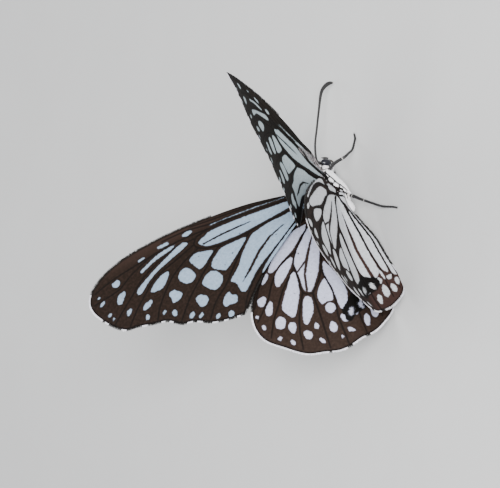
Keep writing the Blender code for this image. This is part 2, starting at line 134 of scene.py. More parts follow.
def join(pieces, name):
    """Joins the pieces into one object of that name."""
    bpy.ops.object.select_all(action="DESELECT")
    for piece in pieces:
        piece.select_set(True)
    bpy.context.view_layer.objects.active = pieces[0]
    bpy.ops.object.join()
    pieces[0].name = name
    pieces[0].data.name = name
    return pieces[0]


def set_in_place(piece, finish, slot, *stands_for):
    """Sets a piece modelled in millimetres on the frame and gives it its finish."""
    piece.data.transform(TO_FRAME)
    if finish:
        piece.data.materials.clear()
        piece.data.materials.append(finish)
    piece.data.polygons.foreach_set("use_smooth", [True] * len(piece.data.polygons))
    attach(piece, "root")
    if stands_for:
        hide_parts(*stands_for)
    bpy.ops.object.select_all(action="DESELECT")


def places_of(piece):
    """The piece's vertices as rows of numbers."""
    found = np.zeros(len(piece.data.vertices) * 3)
    piece.data.vertices.foreach_get("co", found)
    return found.reshape(-1, 3)


def keep_value(mesh, name, values):
    """Keeps one number for each vertex under that name."""
    layer = mesh.attributes.new(name, "FLOAT", "POINT")
    layer.data.foreach_set("value", np.asarray(values, np.float32))


def feed(tree, node, values):
    """Sets a node's inputs. A value is a number, a colour or the socket that feeds it."""
    for name, value in values.items():
        if isinstance(value, bpy.types.NodeSocket):
            tree.links.new(value, node.inputs[name])
        else:
            node.inputs[name].default_value = value


def add(tree, kind, values=None, **settings):
    """Adds a shader node with its settings and inputs."""
    made = tree.nodes.new(kind)
    for name, value in settings.items():
        setattr(made, name, value)
    feed(tree, made, values or {})
    return made


def ramp(tree, value, low, high, out_low=0.0, out_high=1.0):
    """Turns a value smoothly from out_low, at low, to out_high, at high."""
    return add(tree, "ShaderNodeMapRange", {
        0: value, 1: low, 2: high, 3: out_low, 4: out_high},
        interpolation_type="SMOOTHSTEP").outputs[0]


def blend(tree, share, first, second):
    """Mixes two colours by the share of the second."""
    return add(tree, "ShaderNodeMix", {0: share, 6: first, 7: second},
               data_type="RGBA").outputs[2]


def sums(tree, how, first, second, third=0.0):
    """One sum on two or three values."""
    return add(tree, "ShaderNodeMath", {0: first, 1: second, 2: third}, operation=how).outputs[0]


def carried(tree, name):
    """What the piece carries at each point under that name."""
    return add(tree, "ShaderNodeAttribute", attribute_name=name).outputs["Fac"]


def place_of(tree):
    """The place on the piece itself."""
    return add(tree, "ShaderNodeTexCoord").outputs["Object"]


def relief(tree, strength, deep, height, invert=False):
    """Bumps of that height as a surface direction."""
    return add(tree, "ShaderNodeBump", {
        "Strength": strength, "Distance": deep, "Height": height}, invert=invert).outputs[0]


def toned(colour, share):
    """The colour made darker or lighter by the share."""
    return [part * share for part in colour[:3]] + [1]


def start_group(name, takes, gives):
    """A new shader group with number sockets of those names."""
    made = bpy.data.node_groups.new(name, "ShaderNodeTree")
    for way, sockets in (("INPUT", takes), ("OUTPUT", gives)):
        for socket in sockets:
            made.interface.new_socket(socket, in_out=way, socket_type="NodeSocketFloat")
    return made


def start_finish(name):
    """A new material, its tree and its Principled shader."""
    made = bpy.data.materials.new(name)
    made.use_nodes = True
    return made, made.node_tree, made.node_tree.nodes["Principled BSDF"]


def length_along(line):
    """How far each point of a line is from its start."""
    return np.concatenate([[0], np.cumsum(np.linalg.norm(np.diff(line, axis=0), axis=1))])


def line_distance(places, line):
    """How far each place is from a line, and how far along the line it lies, 0 to 1."""
    far = np.full(len(places), 99.0)
    along = np.zeros(len(places))
    at = length_along(line)
    for first, second, start, end in zip(line, line[1:], at, at[1:]):
        way = second - first
        share = np.clip((places - first) @ way / (way @ way), 0, 1)
        gap = np.linalg.norm(places - first - share[:, None] * way, axis=1)
        along = np.where(gap < far, (start + share * (end - start)) / at[-1], along)
        far = np.minimum(far, gap)
    return far, along


def inside(places, outline):
    """Which places lie inside the closed outline."""
    x, y = places[:, 0], places[:, 1]
    found = np.zeros(len(places), bool)
    for (ax, ay), (bx, by) in zip(outline, np.roll(outline, -1, 0)):
        crosses = (ay > y) != (by > y)
        with np.errstate(divide="ignore", invalid="ignore"):
            found ^= crosses & (x < (bx - ax) * (y - ay) / (by - ay) + ax)
    return found


def shape_depth(places, points):
    """How deep each place lies inside a smooth closed shape; at most 1 mm below zero outside."""
    outline = smooth_loop(points, 0.3)
    deep = np.full(len(places), -1.0)
    near = np.all((places > outline.min(0) - 1) & (places < outline.max(0) + 1), axis=1)
    if near.any():
        far, _ = line_distance(places[near], outline)
        deep[near] = np.maximum(np.where(inside(places[near], outline[:-1]), far, -far), -1)
    return deep


# White scale spots of the flanks and breast, each an outline in side view.
SIDE_SPOTS = [
    [(1.14, -0.05), (1.07, -0.25), (0.78, -0.31), (0.57, -0.19), (0.69, -0.05), (0.93, 0.02)],
    [(0.24, -0.26), (0.26, -0.50), (0.03, -0.74), (-0.23, -0.83), (-0.58, -0.82), (-0.63, -0.59),
        (-0.45, -0.32), (-0.15, -0.22)],
    [(0.42, 0.25), (0.24, 0.13), (-0.08, 0.11), (-0.35, 0.21), (-0.31, 0.34), (0.05, 0.36)],
    [(-0.86, -0.81), (-0.84, -1.12), (-1.11, -1.32), (-1.42, -1.48), (-1.75, -1.29), (-1.81, -0.98),
        (-1.63, -0.77), (-1.31, -0.70)],
    [(-0.54, -1.21), (-0.65, -1.45), (-0.92, -1.70), (-1.13, -1.59), (-0.96, -1.38), (-0.75, -1.20)],
    [(-0.82, 0.42), (-1.29, -0.14), (-1.69, -0.37), (-2.28, -0.66), (-2.69, -0.72), (-2.75, -0.53),
        (-2.41, -0.05), (-2, 0.19), (-1.49, 0.31), (-0.98, 0.46)],
    [(-1.48, -1.81), (-1.49, -2.16), (-1.81, -2.57), (-2.21, -2.82), (-2.39, -2.67), (-2.31, -2.34),
        (-1.96, -1.93), (-1.70, -1.74)],
    [(-2.20, -1.34), (-2.42, -1.65), (-2.61, -1.99), (-2.78, -1.95), (-2.75, -1.69), (-2.53, -1.45)],
    [(-2.91, -1.06), (-2.72, -1.31), (-2.84, -1.76), (-2.81, -2.44), (-3.17, -2.68), (-3.46, -2.70),
        (-3.49, -2.34), (-3.27, -1.98), (-3.21, -1.54), (-3.15, -1.20)],
    [(-2.10, -3.01), (-2, -3.70), (-2.20, -4.30), (-2.60, -4), (-2.92, -3.05), (-2.65, -2.78)],
    [(-3.13, -2.84), (-3.04, -3.39), (-3.04, -4), (-3.42, -3.70), (-3.53, -2.98)],
    [(1.65, -0.40), (2.40, -0.55), (2.90, -1), (2.90, -2.40), (1.20, -2.40), (0.60, -2.60),
        (-0.24, -3.10), (-1.04, -3.70), (-1.90, -3.90), (-1.94, -3.10), (-1.71, -2.78), (-1.46, -2.43),
        (-1.09, -2.02), (-0.74, -1.60), (-0.34, -1.25), (0.15, -0.97), (0.61, -0.66), (1.24, -0.44)],
    [(-3.10, -1.50), (-3.60, -1.60), (-4.30, -1.80), (-4, -2.90), (-3.40, -2.45), (-3.05, -1.95)],
    [(2.30, 0), (2.75, -0.28), (2.75, -0.50), (2.30, -0.42), (1.95, -0.15)],
    [(3.62, -0.50), (3.60, -1.70), (3.42, -1.68), (3.20, -1.15), (3.28, -0.60)],
    [(4.27, -0.24), (4.04, -0.42), (3.75, -0.39), (3.75, -0.23), (4.03, -0.19)],
]
# The black seam between the spots of the flank and the white breast, in side view.
FLANK_SEAM = np.array([(1.9, 0.0), (1.42, -0.17), (0.22, -0.66), (-0.75, -1.30), (-1.46, -2.10),
                       (-2.04, -2.95)])
FLANK_SEAM_HALF = 0.12
SPOT_GROWTH = 0.04
# White spots of the back and face: middle, half length along the body, half size across it.
BACK_SPOTS = [
    (4.75, -0.28, -0.7, 0.2, 0.14), (4.6, -0.5, -1.95, 0.26, 0.2), (1.9, -0.45, 0.55, 0.26, 0.16),
    (0.7, -0.55, 0.85, 0.3, 0.17), (-1.0, -0.5, 0.95, 0.32, 0.18), (-2.6, -0.35, 0.45, 0.26, 0.16),
]
# Where the abdomen's pale underside ends: distances behind the forewing hinges and heights.
BELLY_EDGE = ([3.4, 4.6, 8, 14, 22], [-1.6, -1.8, -2.75, -3.5, -4.1])
WAIST_AT = -3.7
BREAST_LINE_HALF = 0.3
# From a ring's middle, 0, to its joints, 1: where its pale band starts.
RING_BAND = 0.86


def body_pale(places):
    """How pale the body is at each place: above zero in a white spot or on the belly."""
    x, y, z = places[:, 0], -np.abs(places[:, 1]), places[:, 2]
    pale = np.full(len(places), -1.0)
    for points in SIDE_SPOTS:
        pale = np.maximum(pale, shape_depth(places[:, ::2], points) + SPOT_GROWTH)
    for sx, sy, sz, along, across in BACK_SPOTS:
        far = np.sqrt(((x - sx) / along) ** 2 + ((y - sy) / across) ** 2
                      + ((z - sz) / across) ** 2)
        pale = np.maximum(pale, (1 - far) * across)
    seam, _ = line_distance(places[:, ::2], FLANK_SEAM)
    pale = np.minimum(pale, seam - FLANK_SEAM_HALF)
    # The underside of the abdomen, a line under the breast and bands low at the rings' joints.
    belly = np.interp(-x, *BELLY_EDGE)
    pale = np.where(x < WAIST_AT, np.maximum(pale, belly - z), pale)
    line = np.where((x > WAIST_AT) & (x < 2.2) & (z < -2.6), BREAST_LINE_HALF + y, -1.0)
    ring = np.abs(((-x - RING_START) / RING_LENGTH) % 1 - 0.5) * 2
    band = np.where((x < -4.6) & (ring > RING_BAND) & (z < -2.2), 0.12, -1.0)
    return np.clip(np.maximum.reduce([pale, line, band]), -1, 1)


abdomen_rings = smooth_line(ABDOMEN, 0.18)
in_ring = ((-abdomen_rings[:, 0] - RING_START) / RING_LENGTH) % 1
pinch = 1 - RING_PINCH * np.exp(-((np.minimum(in_ring, 1 - in_ring) / RING_REACH) ** 2))
pinch += RING_SWELL * np.sin(np.pi * in_ring) ** 0.7 - RING_TRIM
abdomen_rings[:, 2:] *= pinch[:, None]
flesh = []
for rings, coat in (
        (smooth_line(THORAX, 0.3), COAT_DEPTH), (abdomen_rings, COAT_DEPTH),
        (smooth_line(HEAD, 0.2), COAT_DEPTH), (np.array(NECK), 0), (np.array(WAIST), 0)):
    rings[:, 2:] = np.maximum(rings[:, 2:] - coat, LEAST_HALF)
    rings[0, 0] -= coat
    rings[-1, 0] += coat
    flesh.append(draw_out(rings.tolist()))
for (x, y, z), half, slope in SWELLINGS:
    for side in (1, -1):
        bpy.ops.mesh.primitive_ico_sphere_add(
            subdivisions=4, radius=1.0, location=(x, side * y, z), scale=half,
            rotation=(0, -math.radians(slope), 0))
        bpy.ops.object.transform_apply()
        flesh.append(bpy.context.object)
skin = join(flesh, "body_skin")
remesh = skin.modifiers.new("one_skin", "REMESH")
remesh.mode = "VOXEL"
remesh.voxel_size = SKIN_GRAIN
bpy.ops.object.modifier_apply(modifier="one_skin")
fair = skin.modifiers.new("fair", "SMOOTH")
fair.factor = 0.5
fair.iterations = 6
bpy.ops.object.modifier_apply(modifier="fair")
skin_places = places_of(skin)
x, y, z = skin_places.T
furrow = np.exp(-(y / FURROW_HALF) ** 2) * (x > -3.2)
furrow *= (x < 2.4) * (z > -0.4) * FURROW_DEPTH
groove = np.exp(-((x - GROOVE_AT + 0.25 * y ** 2) / GROOVE_HALF) ** 2) * GROOVE_DEPTH
groove *= z > -0.6
skin_places[:, 2] -= furrow + groove
skin.data.vertices.foreach_set("co", skin_places.ravel())
keep_value(skin.data, "pale", body_pale(skin_places))
skin.data.update()
sides = len(skin.data.polygons)
skin_middles, skin_normals, skin_areas = np.zeros(sides * 3), np.zeros(sides * 3), np.zeros(sides)
skin.data.polygons.foreach_get("center", skin_middles)
skin.data.polygons.foreach_get("normal", skin_normals)
skin.data.polygons.foreach_get("area", skin_areas)
skin_middles, skin_normals = skin_middles.reshape(-1, 3), skin_normals.reshape(-1, 3)

# The fine grain of chitin: small pits and a soft change of tone.
grain_group = start_group("chitin_grain", ["Size"], ["Tone", "Height"])
given = add(grain_group, "NodeGroupInput")
places = place_of(grain_group)
pits = add(grain_group, "ShaderNodeTexVoronoi", {"Vector": places, "Scale": given.outputs[0]})
tone = add(grain_group, "ShaderNodeTexNoise", {
    "Vector": places, "Scale": sums(grain_group, "MULTIPLY", given.outputs[0], 0.22),
    "Detail": 5.0, "Roughness": 0.6})
add(grain_group, "NodeGroupOutput", {
    0: tone.outputs[0], 1: sums(grain_group, "ADD", pits.outputs[0], tone.outputs[0])})


def chitin(name, black, white, size, rough):
    """Black chitin with white marks where the piece's pale value rises above zero."""
    made, tree, shader = start_finish(name)
    grain = add(tree, "ShaderNodeGroup", {0: size}, node_tree=grain_group)
    ragged = sums(tree, "MULTIPLY_ADD", grain.outputs[0], 0.08, -0.04)
    share = ramp(tree, sums(tree, "ADD", carried(tree, "pale"), ragged), -0.03, 0.03)
    dark = blend(tree, grain.outputs[0], toned(black, 0.55), black)
    light = blend(tree, grain.outputs[0], toned(white, 0.80), white)
    feed(tree, shader, {
        "Base Color": blend(tree, share, dark, light),
        "Roughness": ramp(tree, grain.outputs[0], 0.3, 0.7, rough - 0.08, rough + 0.1),
        "Normal": relief(tree, 0.5, 0.00004, grain.outputs[1]), "Specular IOR Level": 0.4})
    return made


BLACK = (0.012, 0.011, 0.011, 1)
WHITE = (0.90, 0.89, 0.90, 1)
skin_finish = chitin("body_chitin", BLACK, WHITE, 9000, 0.5)
set_in_place(skin, skin_finish, "thorax", "thorax", "abdomen", "head")


# Compound eyes.
# Two bulging lenses of thousands of six-sided facets, dark blue-grey, each set in a
# shallow socket of the head with a white rim of scales below it.
EYE_AT = (4.0, 1.10, -1.20)
EYE_HALF = (0.64, 0.54, 0.93)
EYE_FLATTENED = 0.55
# Both sides of the animal: the sign of Y and the name.
PAIR = ((1, "left"), (-1, "right"))
eye_finish, tree, shader = start_finish("eye_facets")
facets = add(tree, "ShaderNodeTexVoronoi", {
    "Vector": place_of(tree), "Scale": 17000.0, "Randomness": 0.15})
cloud = add(tree, "ShaderNodeTexNoise", {
    "Vector": place_of(tree), "Scale": 1500.0, "Detail": 3.0})
shade = blend(tree, ramp(tree, cloud.outputs[0], 0.35, 0.65),
              (0.004, 0.0045, 0.008, 1), (0.011, 0.012, 0.020, 1))
rims = ramp(tree, facets.outputs[0], 0.25, 0.7)
feed(tree, shader, {
    "Base Color": blend(tree, rims, shade, (0.004, 0.004, 0.006, 1)), "Roughness": 0.3,
    "Specular IOR Level": 0.3, "Coat Weight": 0.12, "Coat Roughness": 0.1,
    "Normal": relief(tree, 0.6, 0.000012, facets.outputs[0], True)})
for side, name in PAIR:
    bpy.ops.mesh.primitive_ico_sphere_add(
        subdivisions=5, radius=1.0, location=(EYE_AT[0], side * EYE_AT[1], EYE_AT[2]))
    eye = bpy.context.object
    eye.scale = EYE_HALF
    bpy.ops.object.transform_apply()
    eye.name = "compound_eye_" + name
    lens = places_of(eye)
    inner = np.minimum(side * lens[:, 1] - EYE_AT[1], 0)
    lens[:, 1] -= side * inner * EYE_FLATTENED
    eye.data.vertices.foreach_set("co", lens.ravel())
    set_in_place(eye, eye_finish, "eye", "eye_" + name)


# Coat of the head, thorax and abdomen.
# Short hair-scales rooted in the black skin, lying back along the body: black ones, and
# white ones in the spots and on the belly. They are longest on the back of the thorax
# and shortest on the face.
coat_chance = np.random.default_rng(11)
# A blade is three rings of three points, each ring so far along it and so wide, and a tip.
BLADE_RINGS = ((0.0, 0.75), (0.4, 1.0), (0.78, 0.7))
BLADE_POINTS = 10
BLADE_SUNK = 0.04
BLADE_SHEET = 0.003
HAIR_HALF = 0.045


def unit(rows):
    """The rows as directions of length one."""
    return rows / np.maximum(np.linalg.norm(rows, axis=1), 1e-9)[:, None]


def build(name, places, faces, sheet):
    """A new piece of those places and faces, each place laid on the OFBake sheet."""
    mesh = bpy.data.meshes.new(name)
    mesh.from_pydata(places.tolist(), [], faces)
    mesh.update()
    layer = mesh.uv_layers.new(name="OFBake")
    corner = np.zeros(len(mesh.loops), int)
    mesh.loops.foreach_get("vertex_index", corner)
    layer.data.foreach_set("uv", sheet[corner].ravel())
    made = bpy.data.objects.new(name, mesh)
    bpy.context.scene.collection.objects.link(made)
    return made


def tufts(name, roots, ways, ups, length, half, lift, pale, sheet):
    """One joined mesh of thin curved blades, each on its root and along its way."""
    ways = unit(ways - (ways * ups).sum(1)[:, None] * ups)
    across = np.cross(ways, ups)
    count = len(roots)
    length, half, lift = (np.broadcast_to(v, count)[:, None] for v in (length, half, lift))
    rings, spread = [], []
    for share, wide in BLADE_RINGS:
        rise = lift * length * (1.9 * share - share * share) - BLADE_SUNK * (1 - share)
        middle = roots + ways * length * share + ups * rise
        rings += [middle - across * half * wide, middle + across * half * wide,
                  middle + ups * half * wide * 0.6]
        spread += [(-0.5, share), (0.5, share), (0.0, share)]
    rings.append(roots + ways * length + ups * lift * length * 0.9)
    spread.append((0.0, 1.0))
    places = np.stack(rings, 1).reshape(-1, 3)
    places[:, 2] = np.maximum(places[:, 2], FOOT_LEVEL + 0.01)
    sides = [(k + a, k + 3 + a, k + 3 + b, k + b) for k in (0, 3) for a, b in ((0, 1), (1, 2), (2, 0))]
    ends = [(6, 9, 7), (7, 9, 8), (8, 9, 6), (0, 1, 2)]
    first = np.arange(count)[:, None, None] * BLADE_POINTS
    quads = (first + np.array(sides)).reshape(-1, 4)
    corners = (first + np.array(ends)).reshape(-1, 3)
    laid = np.repeat(sheet, BLADE_POINTS, axis=0) + np.tile(spread, (count, 1)) * BLADE_SHEET
    made = build(name, places, quads.tolist() + corners.tolist(), laid)
    keep_value(made.data, "pale", np.repeat(pale, BLADE_POINTS))
    keep_value(made.data, "tone", np.repeat(coat_chance.random(count), BLADE_POINTS))
    return made


def coat_finish(name, black, white, soft=0.05):
    """Dull hair-scales, black or white by the tuft, each of its own tone."""
    made, tree, shader = start_finish(name)
    tone = carried(tree, "tone")
    dark = blend(tree, tone, toned(black, 0.5), toned(black, 1.8))
    light = blend(tree, tone, toned(white, 0.80), white)
    share = ramp(tree, carried(tree, "pale"), -soft, soft)
    feed(tree, shader, {
        "Base Color": blend(tree, share, dark, light), "Roughness": 0.62, "Specular IOR Level": 0.2})
    return made


# Each stretch of the coat: its slot, its rear and front end, and its hairs a square millimetre.
COAT_REGIONS = {
    "thorax_coat": ("thorax", WAIST_AT, 3.15, 62), "abdomen_coat": ("abdomen", -22.5, WAIST_AT, 30),
    "head_coat": ("head", 3.15, 6.0, 110),
}
hair_finish = coat_finish("hair_scales", (0.008, 0.007, 0.007, 1), (0.94, 0.93, 0.95, 1))
for name, (slot, start, end, crowd) in COAT_REGIONS.items():
    here = (skin_middles[:, 0] > start) & (skin_middles[:, 0] <= end)
    eyes = np.minimum.reduce([
        np.linalg.norm((skin_middles - (EYE_AT[0], side * EYE_AT[1], EYE_AT[2])) / EYE_HALF, axis=1)
        for side in (1, -1)])
    here &= eyes > 1.02
    chance = skin_areas * crowd * here
    picked = coat_chance.random(len(chance)) < chance
    roots, ups = skin_middles[picked], skin_normals[picked]
    count = len(roots)
    x, y, z = roots.T
    ways = np.stack([-np.ones(count), np.zeros(count), np.where(z < -1.8, 0.05, -0.25)], 1)
    length = np.full(count, 0.27)
    lift = np.full(count, 0.22)
    if slot == "thorax":
        back = np.clip((z - 0.1) / 0.7, 0, 1) * np.clip((x + 4.5) / 1.5, 0, 1)
        length = 0.23 + 0.40 * back
        lift = 0.20 + 0.16 * back
    if slot == "head":
        face = np.clip((x - 4.6) / 0.6, 0, 1)
        ways = np.stack([face - 1, 0.3 * np.sign(y), 0.7 * face + 0.1], 1)
        length = 0.24 - 0.10 * face + 0.2 * (z > -0.55)
        lift = np.full(count, 0.4)
    ways = ways + coat_chance.normal(0, 0.16, ways.shape)
    length = length * coat_chance.uniform(0.8, 1.25, count)
    sheet = np.stack([0.5 + np.arctan2(y, z - np.interp(x, [-22, -4, 3, 6], [-3.9, -1.9, -1.0, -1.3]))
                      / (2.02 * math.pi), (x + 23) / 30], 1)
    coat = tufts(name, roots, ways, ups, length, HAIR_HALF, lift, body_pale(roots), sheet)
    set_in_place(coat, hair_finish, slot)


# Feelers, palps and rolled tongue.
# The feelers are rods of some forty short rings that thicken to a slim club. The palps
# stand up before the face, and the tongue is a hollow tube rolled up like a watch spring.
FEELERS = {
    "left": [(4.3, 0.42, -0.6), (4.85, 0.50, 0.05), (7.3, 1.7, 0.25), (10, 3.1, 0.2), (13, 4.7, -0.1),
        (15.5, 6.1, -0.6), (16.7, 6.8, -1.2), (17.4, 7.2, -2.1), (17.6, 7.4, -3)],
    "right": [(4.3, -0.42, -0.6), (4.85, -0.50, 0.05), (7.5, -1.3, -0.15), (10.3, -2.3, -0.9),
        (13.5, -3.4, -1.8), (16.2, -4.4, -2.6), (17.4, -4.8, -3.4), (18.1, -5.05, -4.4),
        (18.3, -5.1, -5.3)],
}
# A feeler's ring length, how much each ring narrows at its joint and over what share of it,
# and how long its thick first joint is and how much thicker.
FEELER_RING = 0.42
FEELER_GROOVE = (0.14, 0.11)
FEELER_BULB = (0.75, 0.07)
FEELER_HALF = [0.25, 0.20, 0.18, 0.18, 0.195, 0.26, 0.33, 0.33, 0.13]
PALP = [(4.4, -0.6, -2.0), (5.15, -0.6, -2.2), (5.4, -0.58, -1.6), (5.45, -0.55, -1.0)]
PALP_HALF = [0.2, 0.23, 0.21, 0.06]
# A palp's joint: how far along, how much it narrows there and over what reach.
PALP_JOINT = (1.35, 0.2, 0.09)
PALP_SPOT = (5.1, -2.2)
TONGUE_AT = (5.05, -2.9)
TONGUE_TURNS = 2.47
TONGUE_REACH = (0.60, 0.10)
TONGUE_START = math.radians(140)
TONGUE_MOUTH = [(4.45, 0, -2.1), (4.5, 0, -2.3)]
TONGUE_HALF = 0.095
TONGUE_TAPER = 0.05


def rod(name, line, halves, sides=4):
    """A round rod along a line of points, each with its own half thickness."""
    curve = bpy.data.curves.new(name, "CURVE")
    curve.dimensions = "3D"
    curve.bevel_depth = 1.0
    curve.bevel_resolution = sides
    curve.use_fill_caps = True
    spline = curve.splines.new("POLY")
    spline.points.add(len(line) - 1)
    for point, place, half in zip(spline.points, line, halves):
        point.co = (*place, 1)
        point.radius = half
    made = bpy.data.objects.new(name, curve)
    bpy.context.scene.collection.objects.link(made)
    bpy.context.view_layer.objects.active = made
    made.select_set(True)
    bpy.ops.object.convert(target="MESH")
    made.select_set(False)
    return bpy.context.object


def limb_line(points, halves, step):
    """The smooth line of a limb and its half thickness at each point of it."""
    rows = smooth_line([(*place, half) for place, half in zip(points, halves)], step)
    return rows[:, :3], rows[:, 3]


feeler_finish = chitin("feeler_chitin", (0.015, 0.014, 0.014, 1), (0.42, 0.40, 0.38, 1), 12000, 0.5)
for name, points in FEELERS.items():
    line, half = limb_line(points, FEELER_HALF, 0.055)
    along = length_along(line)
    ring = (along / FEELER_RING) % 1
    narrow, reach = FEELER_GROOVE
    half = half * (1 - narrow * np.exp(-(np.minimum(ring, 1 - ring) / reach) ** 2))
    long, swell = FEELER_BULB
    half = np.where(along < long, half + swell * np.sin(along / long * math.pi), half)
    feeler = rod("feeler_" + name, line, half)
    places = places_of(feeler)
    tip = np.linalg.norm(places - line[-1], axis=1)
    # The last third of a millimetre is pale.
    keep_value(feeler.data, "pale", np.maximum(0.12 - tip * 0.4, -0.3))
    set_in_place(feeler, feeler_finish, "antenna", "antenna_" + name)

palp_finish = chitin("palp_scales", BLACK, WHITE, 9000, 0.6)
for side, name in PAIR:
    line, half = limb_line(PALP, PALP_HALF, 0.08)
    line = line * (1, -side, 1)
    joint, narrow, reach = PALP_JOINT
    half = half * (1 - narrow * np.exp(-((length_along(line) - joint) / reach) ** 2))
    palp = rod("palp_" + name + "_rod", line, half)
    places = places_of(palp)
    spot = np.hypot(places[:, 0] - PALP_SPOT[0], places[:, 2] - PALP_SPOT[1])
    keep_value(palp.data, "pale", 0.03 - spot * 0.3)
    set_in_place(palp, palp_finish, "palp", "palp_" + name)

turn = np.linspace(0, 1, 150)
spiral = TONGUE_START - turn * 2 * math.pi * TONGUE_TURNS
reach = TONGUE_REACH[0] * (1 - turn) + TONGUE_REACH[1] * turn
coil = np.stack([TONGUE_AT[0] + reach * np.cos(spiral), 0 * turn,
                 TONGUE_AT[1] + reach * np.sin(spiral)], 1)
coil = np.vstack([TONGUE_MOUTH, coil])
half = TONGUE_HALF - TONGUE_TAPER * np.linspace(0, 1, len(coil))
half *= 1 - 0.1 * (np.arange(len(coil)) % 3 == 0)
tongue_finish = chitin("tongue_rings", (0.030, 0.020, 0.014, 1), WHITE, 15000, 0.35)
tongue = rod("rolled_tongue", coil, half, 5)
keep_value(tongue.data, "pale", np.full(len(tongue.data.vertices), -1.0))
set_in_place(tongue, tongue_finish, "tongue", "proboscis")


# Legs.
# Three pairs of jointed black legs. The forelegs are small brushes held to the breast;
# the others have a thigh, a spined shank, a jointed foot and a pair of claws.
FORELEG = [(1.9, -0.75, -1.8), (2.9, -0.6, -2.22), (3.5, -0.55, -2.40), (3.9, -0.5, -2.45)]
MIDLEG = [(2.5, -0.9, -1.3), (2.28, -2.9, -1.4), (2.1, -4.7, -2.35), (3.1, -4.6, -3.5),
          (4.3, -4.25, -4.75), (6.0, -4.2, -5.7), (6.7, -4.35, -6.0), (7.5, -4.55, -6.0)]
HINDLEG = [(-2.4, -0.9, -2.9), (-4.5, -2.6, -3.15), (-5.7, -3.5, -3.35), (-7.2, -4.55, -4.05),
           (-9.0, -5.8, -5.1), (-10.1, -7.0, -5.9), (-10.5, -7.45, -6.0), (-11.3, -8.25, -6.0)]
# Each leg's line, its half thickness at each point and how far along it its joints lie.
LEGS = {
    "foreleg": (FORELEG, [0.26, 0.24, 0.20, 0.09], (1.6, 2.7, 3.2)),
    "midleg": (MIDLEG, [0.30, 0.29, 0.24, 0.21, 0.19, 0.18, 0.18, 0.15], (1.6, 3.7, 7.1, 8.2, 8.8, 9.3)),
    "hindleg": (HINDLEG, [0.30, 0.29, 0.24, 0.21, 0.19, 0.18, 0.18, 0.15], (2.6, 5.0, 8.3, 9.5, 10.1, 10.6)),
}
# How much a leg narrows at a joint and swells before it, each with its reach.
JOINT_PINCH = (0.22, 0.08)
JOINT_SWELL = (0.10, 0.12)
HINDLEG_WHITE = 2.2
# The foreleg's brush hairs: length, half width and lift.
BRUSH = (0.20, 0.04, 0.15)
# Spines and claws: length and half thickness.
SPINE_STEP = 0.42
SPINE = (0.30, 0.032)
CLAW = (0.42, 0.05)
leg_finish = chitin("leg_chitin", (0.012, 0.011, 0.011, 1), (0.62, 0.60, 0.58, 1), 11000, 0.42)


def thorn(root, way, length, half):
    """A pointed spine that stands on its root."""
    bpy.ops.mesh.primitive_cone_add(
        vertices=6, radius1=half, radius2=half * 0.1, depth=length,
        location=Vector(root) + Vector(way).normalized() * length * 0.45,
        rotation=Vector(way).to_track_quat("Z", "Y").to_euler())
    bpy.ops.object.transform_apply()
    return bpy.context.object


for kind, (points, halves, joints) in LEGS.items():
    for side, name in PAIR:
        line, half = limb_line([(x, -side * y, z) for x, y, z in points], halves, 0.07)
        along = length_along(line)
        for joint in joints:
            pinched = JOINT_PINCH[0] * np.exp(-((along - joint) / JOINT_PINCH[1]) ** 2)
            swollen = JOINT_SWELL[0] * np.exp(-((along - joint + 0.2) / JOINT_SWELL[1]) ** 2)
            half = half * (1 - pinched + swollen)
        pale = np.maximum(0.05 - np.abs(along - joints[1] - 0.05) * 0.9, -1.0)
        line[:, 2] = np.maximum(line[:, 2], FOOT_LEVEL + half)
        parts = [rod(kind + "_" + name + "_rod", line, half)]
        if kind != "foreleg":
            for step in np.arange(joints[1] + 0.4, along[-1] - 0.5, SPINE_STEP):
                at = np.searchsorted(along, step)
                ahead = Vector(line[min(at + 3, len(line) - 1)] - line[at])
                for turned in (-1, 1):
                    out = Vector((0, turned, -0.5)) + ahead.normalized() * 1.1
                    root = line[at] + np.array((0, turned * half[at] * 0.6, -half[at] * 0.3))
                    if root[2] - 0.12 > FOOT_LEVEL + 0.05:
                        parts.append(thorn(root, out, *SPINE))
            ahead = Vector(line[-1] - line[-4]).normalized()
            across = ahead.cross(Vector((0, 0, 1)))
            for turned in (-1, 1):
                parts.append(thorn(line[-1], ahead + across * 0.45 * turned, *CLAW))
        if kind == "hindleg":
            # Its first stretch is white with two black rings.
            pale = np.where(along < HINDLEG_WHITE, 0.12 - 0.4 * np.abs(np.sin(along * 2.6)) ** 6, pale)
        leg = join(parts, kind + "_" + name + "_chitin")
        places = places_of(leg)
        near = np.argmin(((places[:, None, :] - line[None, ::2, :]) ** 2).sum(2), 1) * 2
        keep_value(leg.data, "pale", pale[near])
        set_in_place(leg, leg_finish, "leg", kind + "_" + name)
        if kind == "foreleg":
            picked = np.repeat(np.arange(2, len(line) - 1), 12)
            turn = coat_chance.uniform(0, 2 * math.pi, len(picked))[:, None]
            ahead = unit(np.gradient(line, axis=0))[picked]
            across = unit(np.cross(ahead, (0.0, 0.0, 1.0)))
            ups = across * np.cos(turn) + np.cross(across, ahead) * np.sin(turn)
            roots = line[picked] + ups * half[picked][:, None]
            ways = ahead + coat_chance.normal(0, 0.2, ahead.shape)
            sheet = np.hstack([0.1 + along[picked][:, None] / 5, 0.05 + turn / 7])
            brush = tufts("foreleg_" + name + "_brush", roots, ways, ups, *BRUSH,
                          np.full(len(picked), 0.4), sheet)
            set_in_place(brush, hair_finish, "leg")


# Wings.
# Four clear membranes, here a ninth of a millimetre thick, stretched over hollow black veins
# and shingled with dust-fine scales: brown ones along the veins and borders, and bluish
# white ones in the glassy windows between them. The hindwing folds down beside the body.
WING_HALF_THICK = 0.055
# The veins' half width and their rise over the membrane, at the root and at the tip.
VEIN_HALF_WIDTH = (0.20, 0.09)
VEIN_RISE = (0.10, 0.035)
HINGE_HALF_GAP = 1.7
HINGES = {"fore": (0.0, 0.45), "hind": (-3.4, -0.85)}
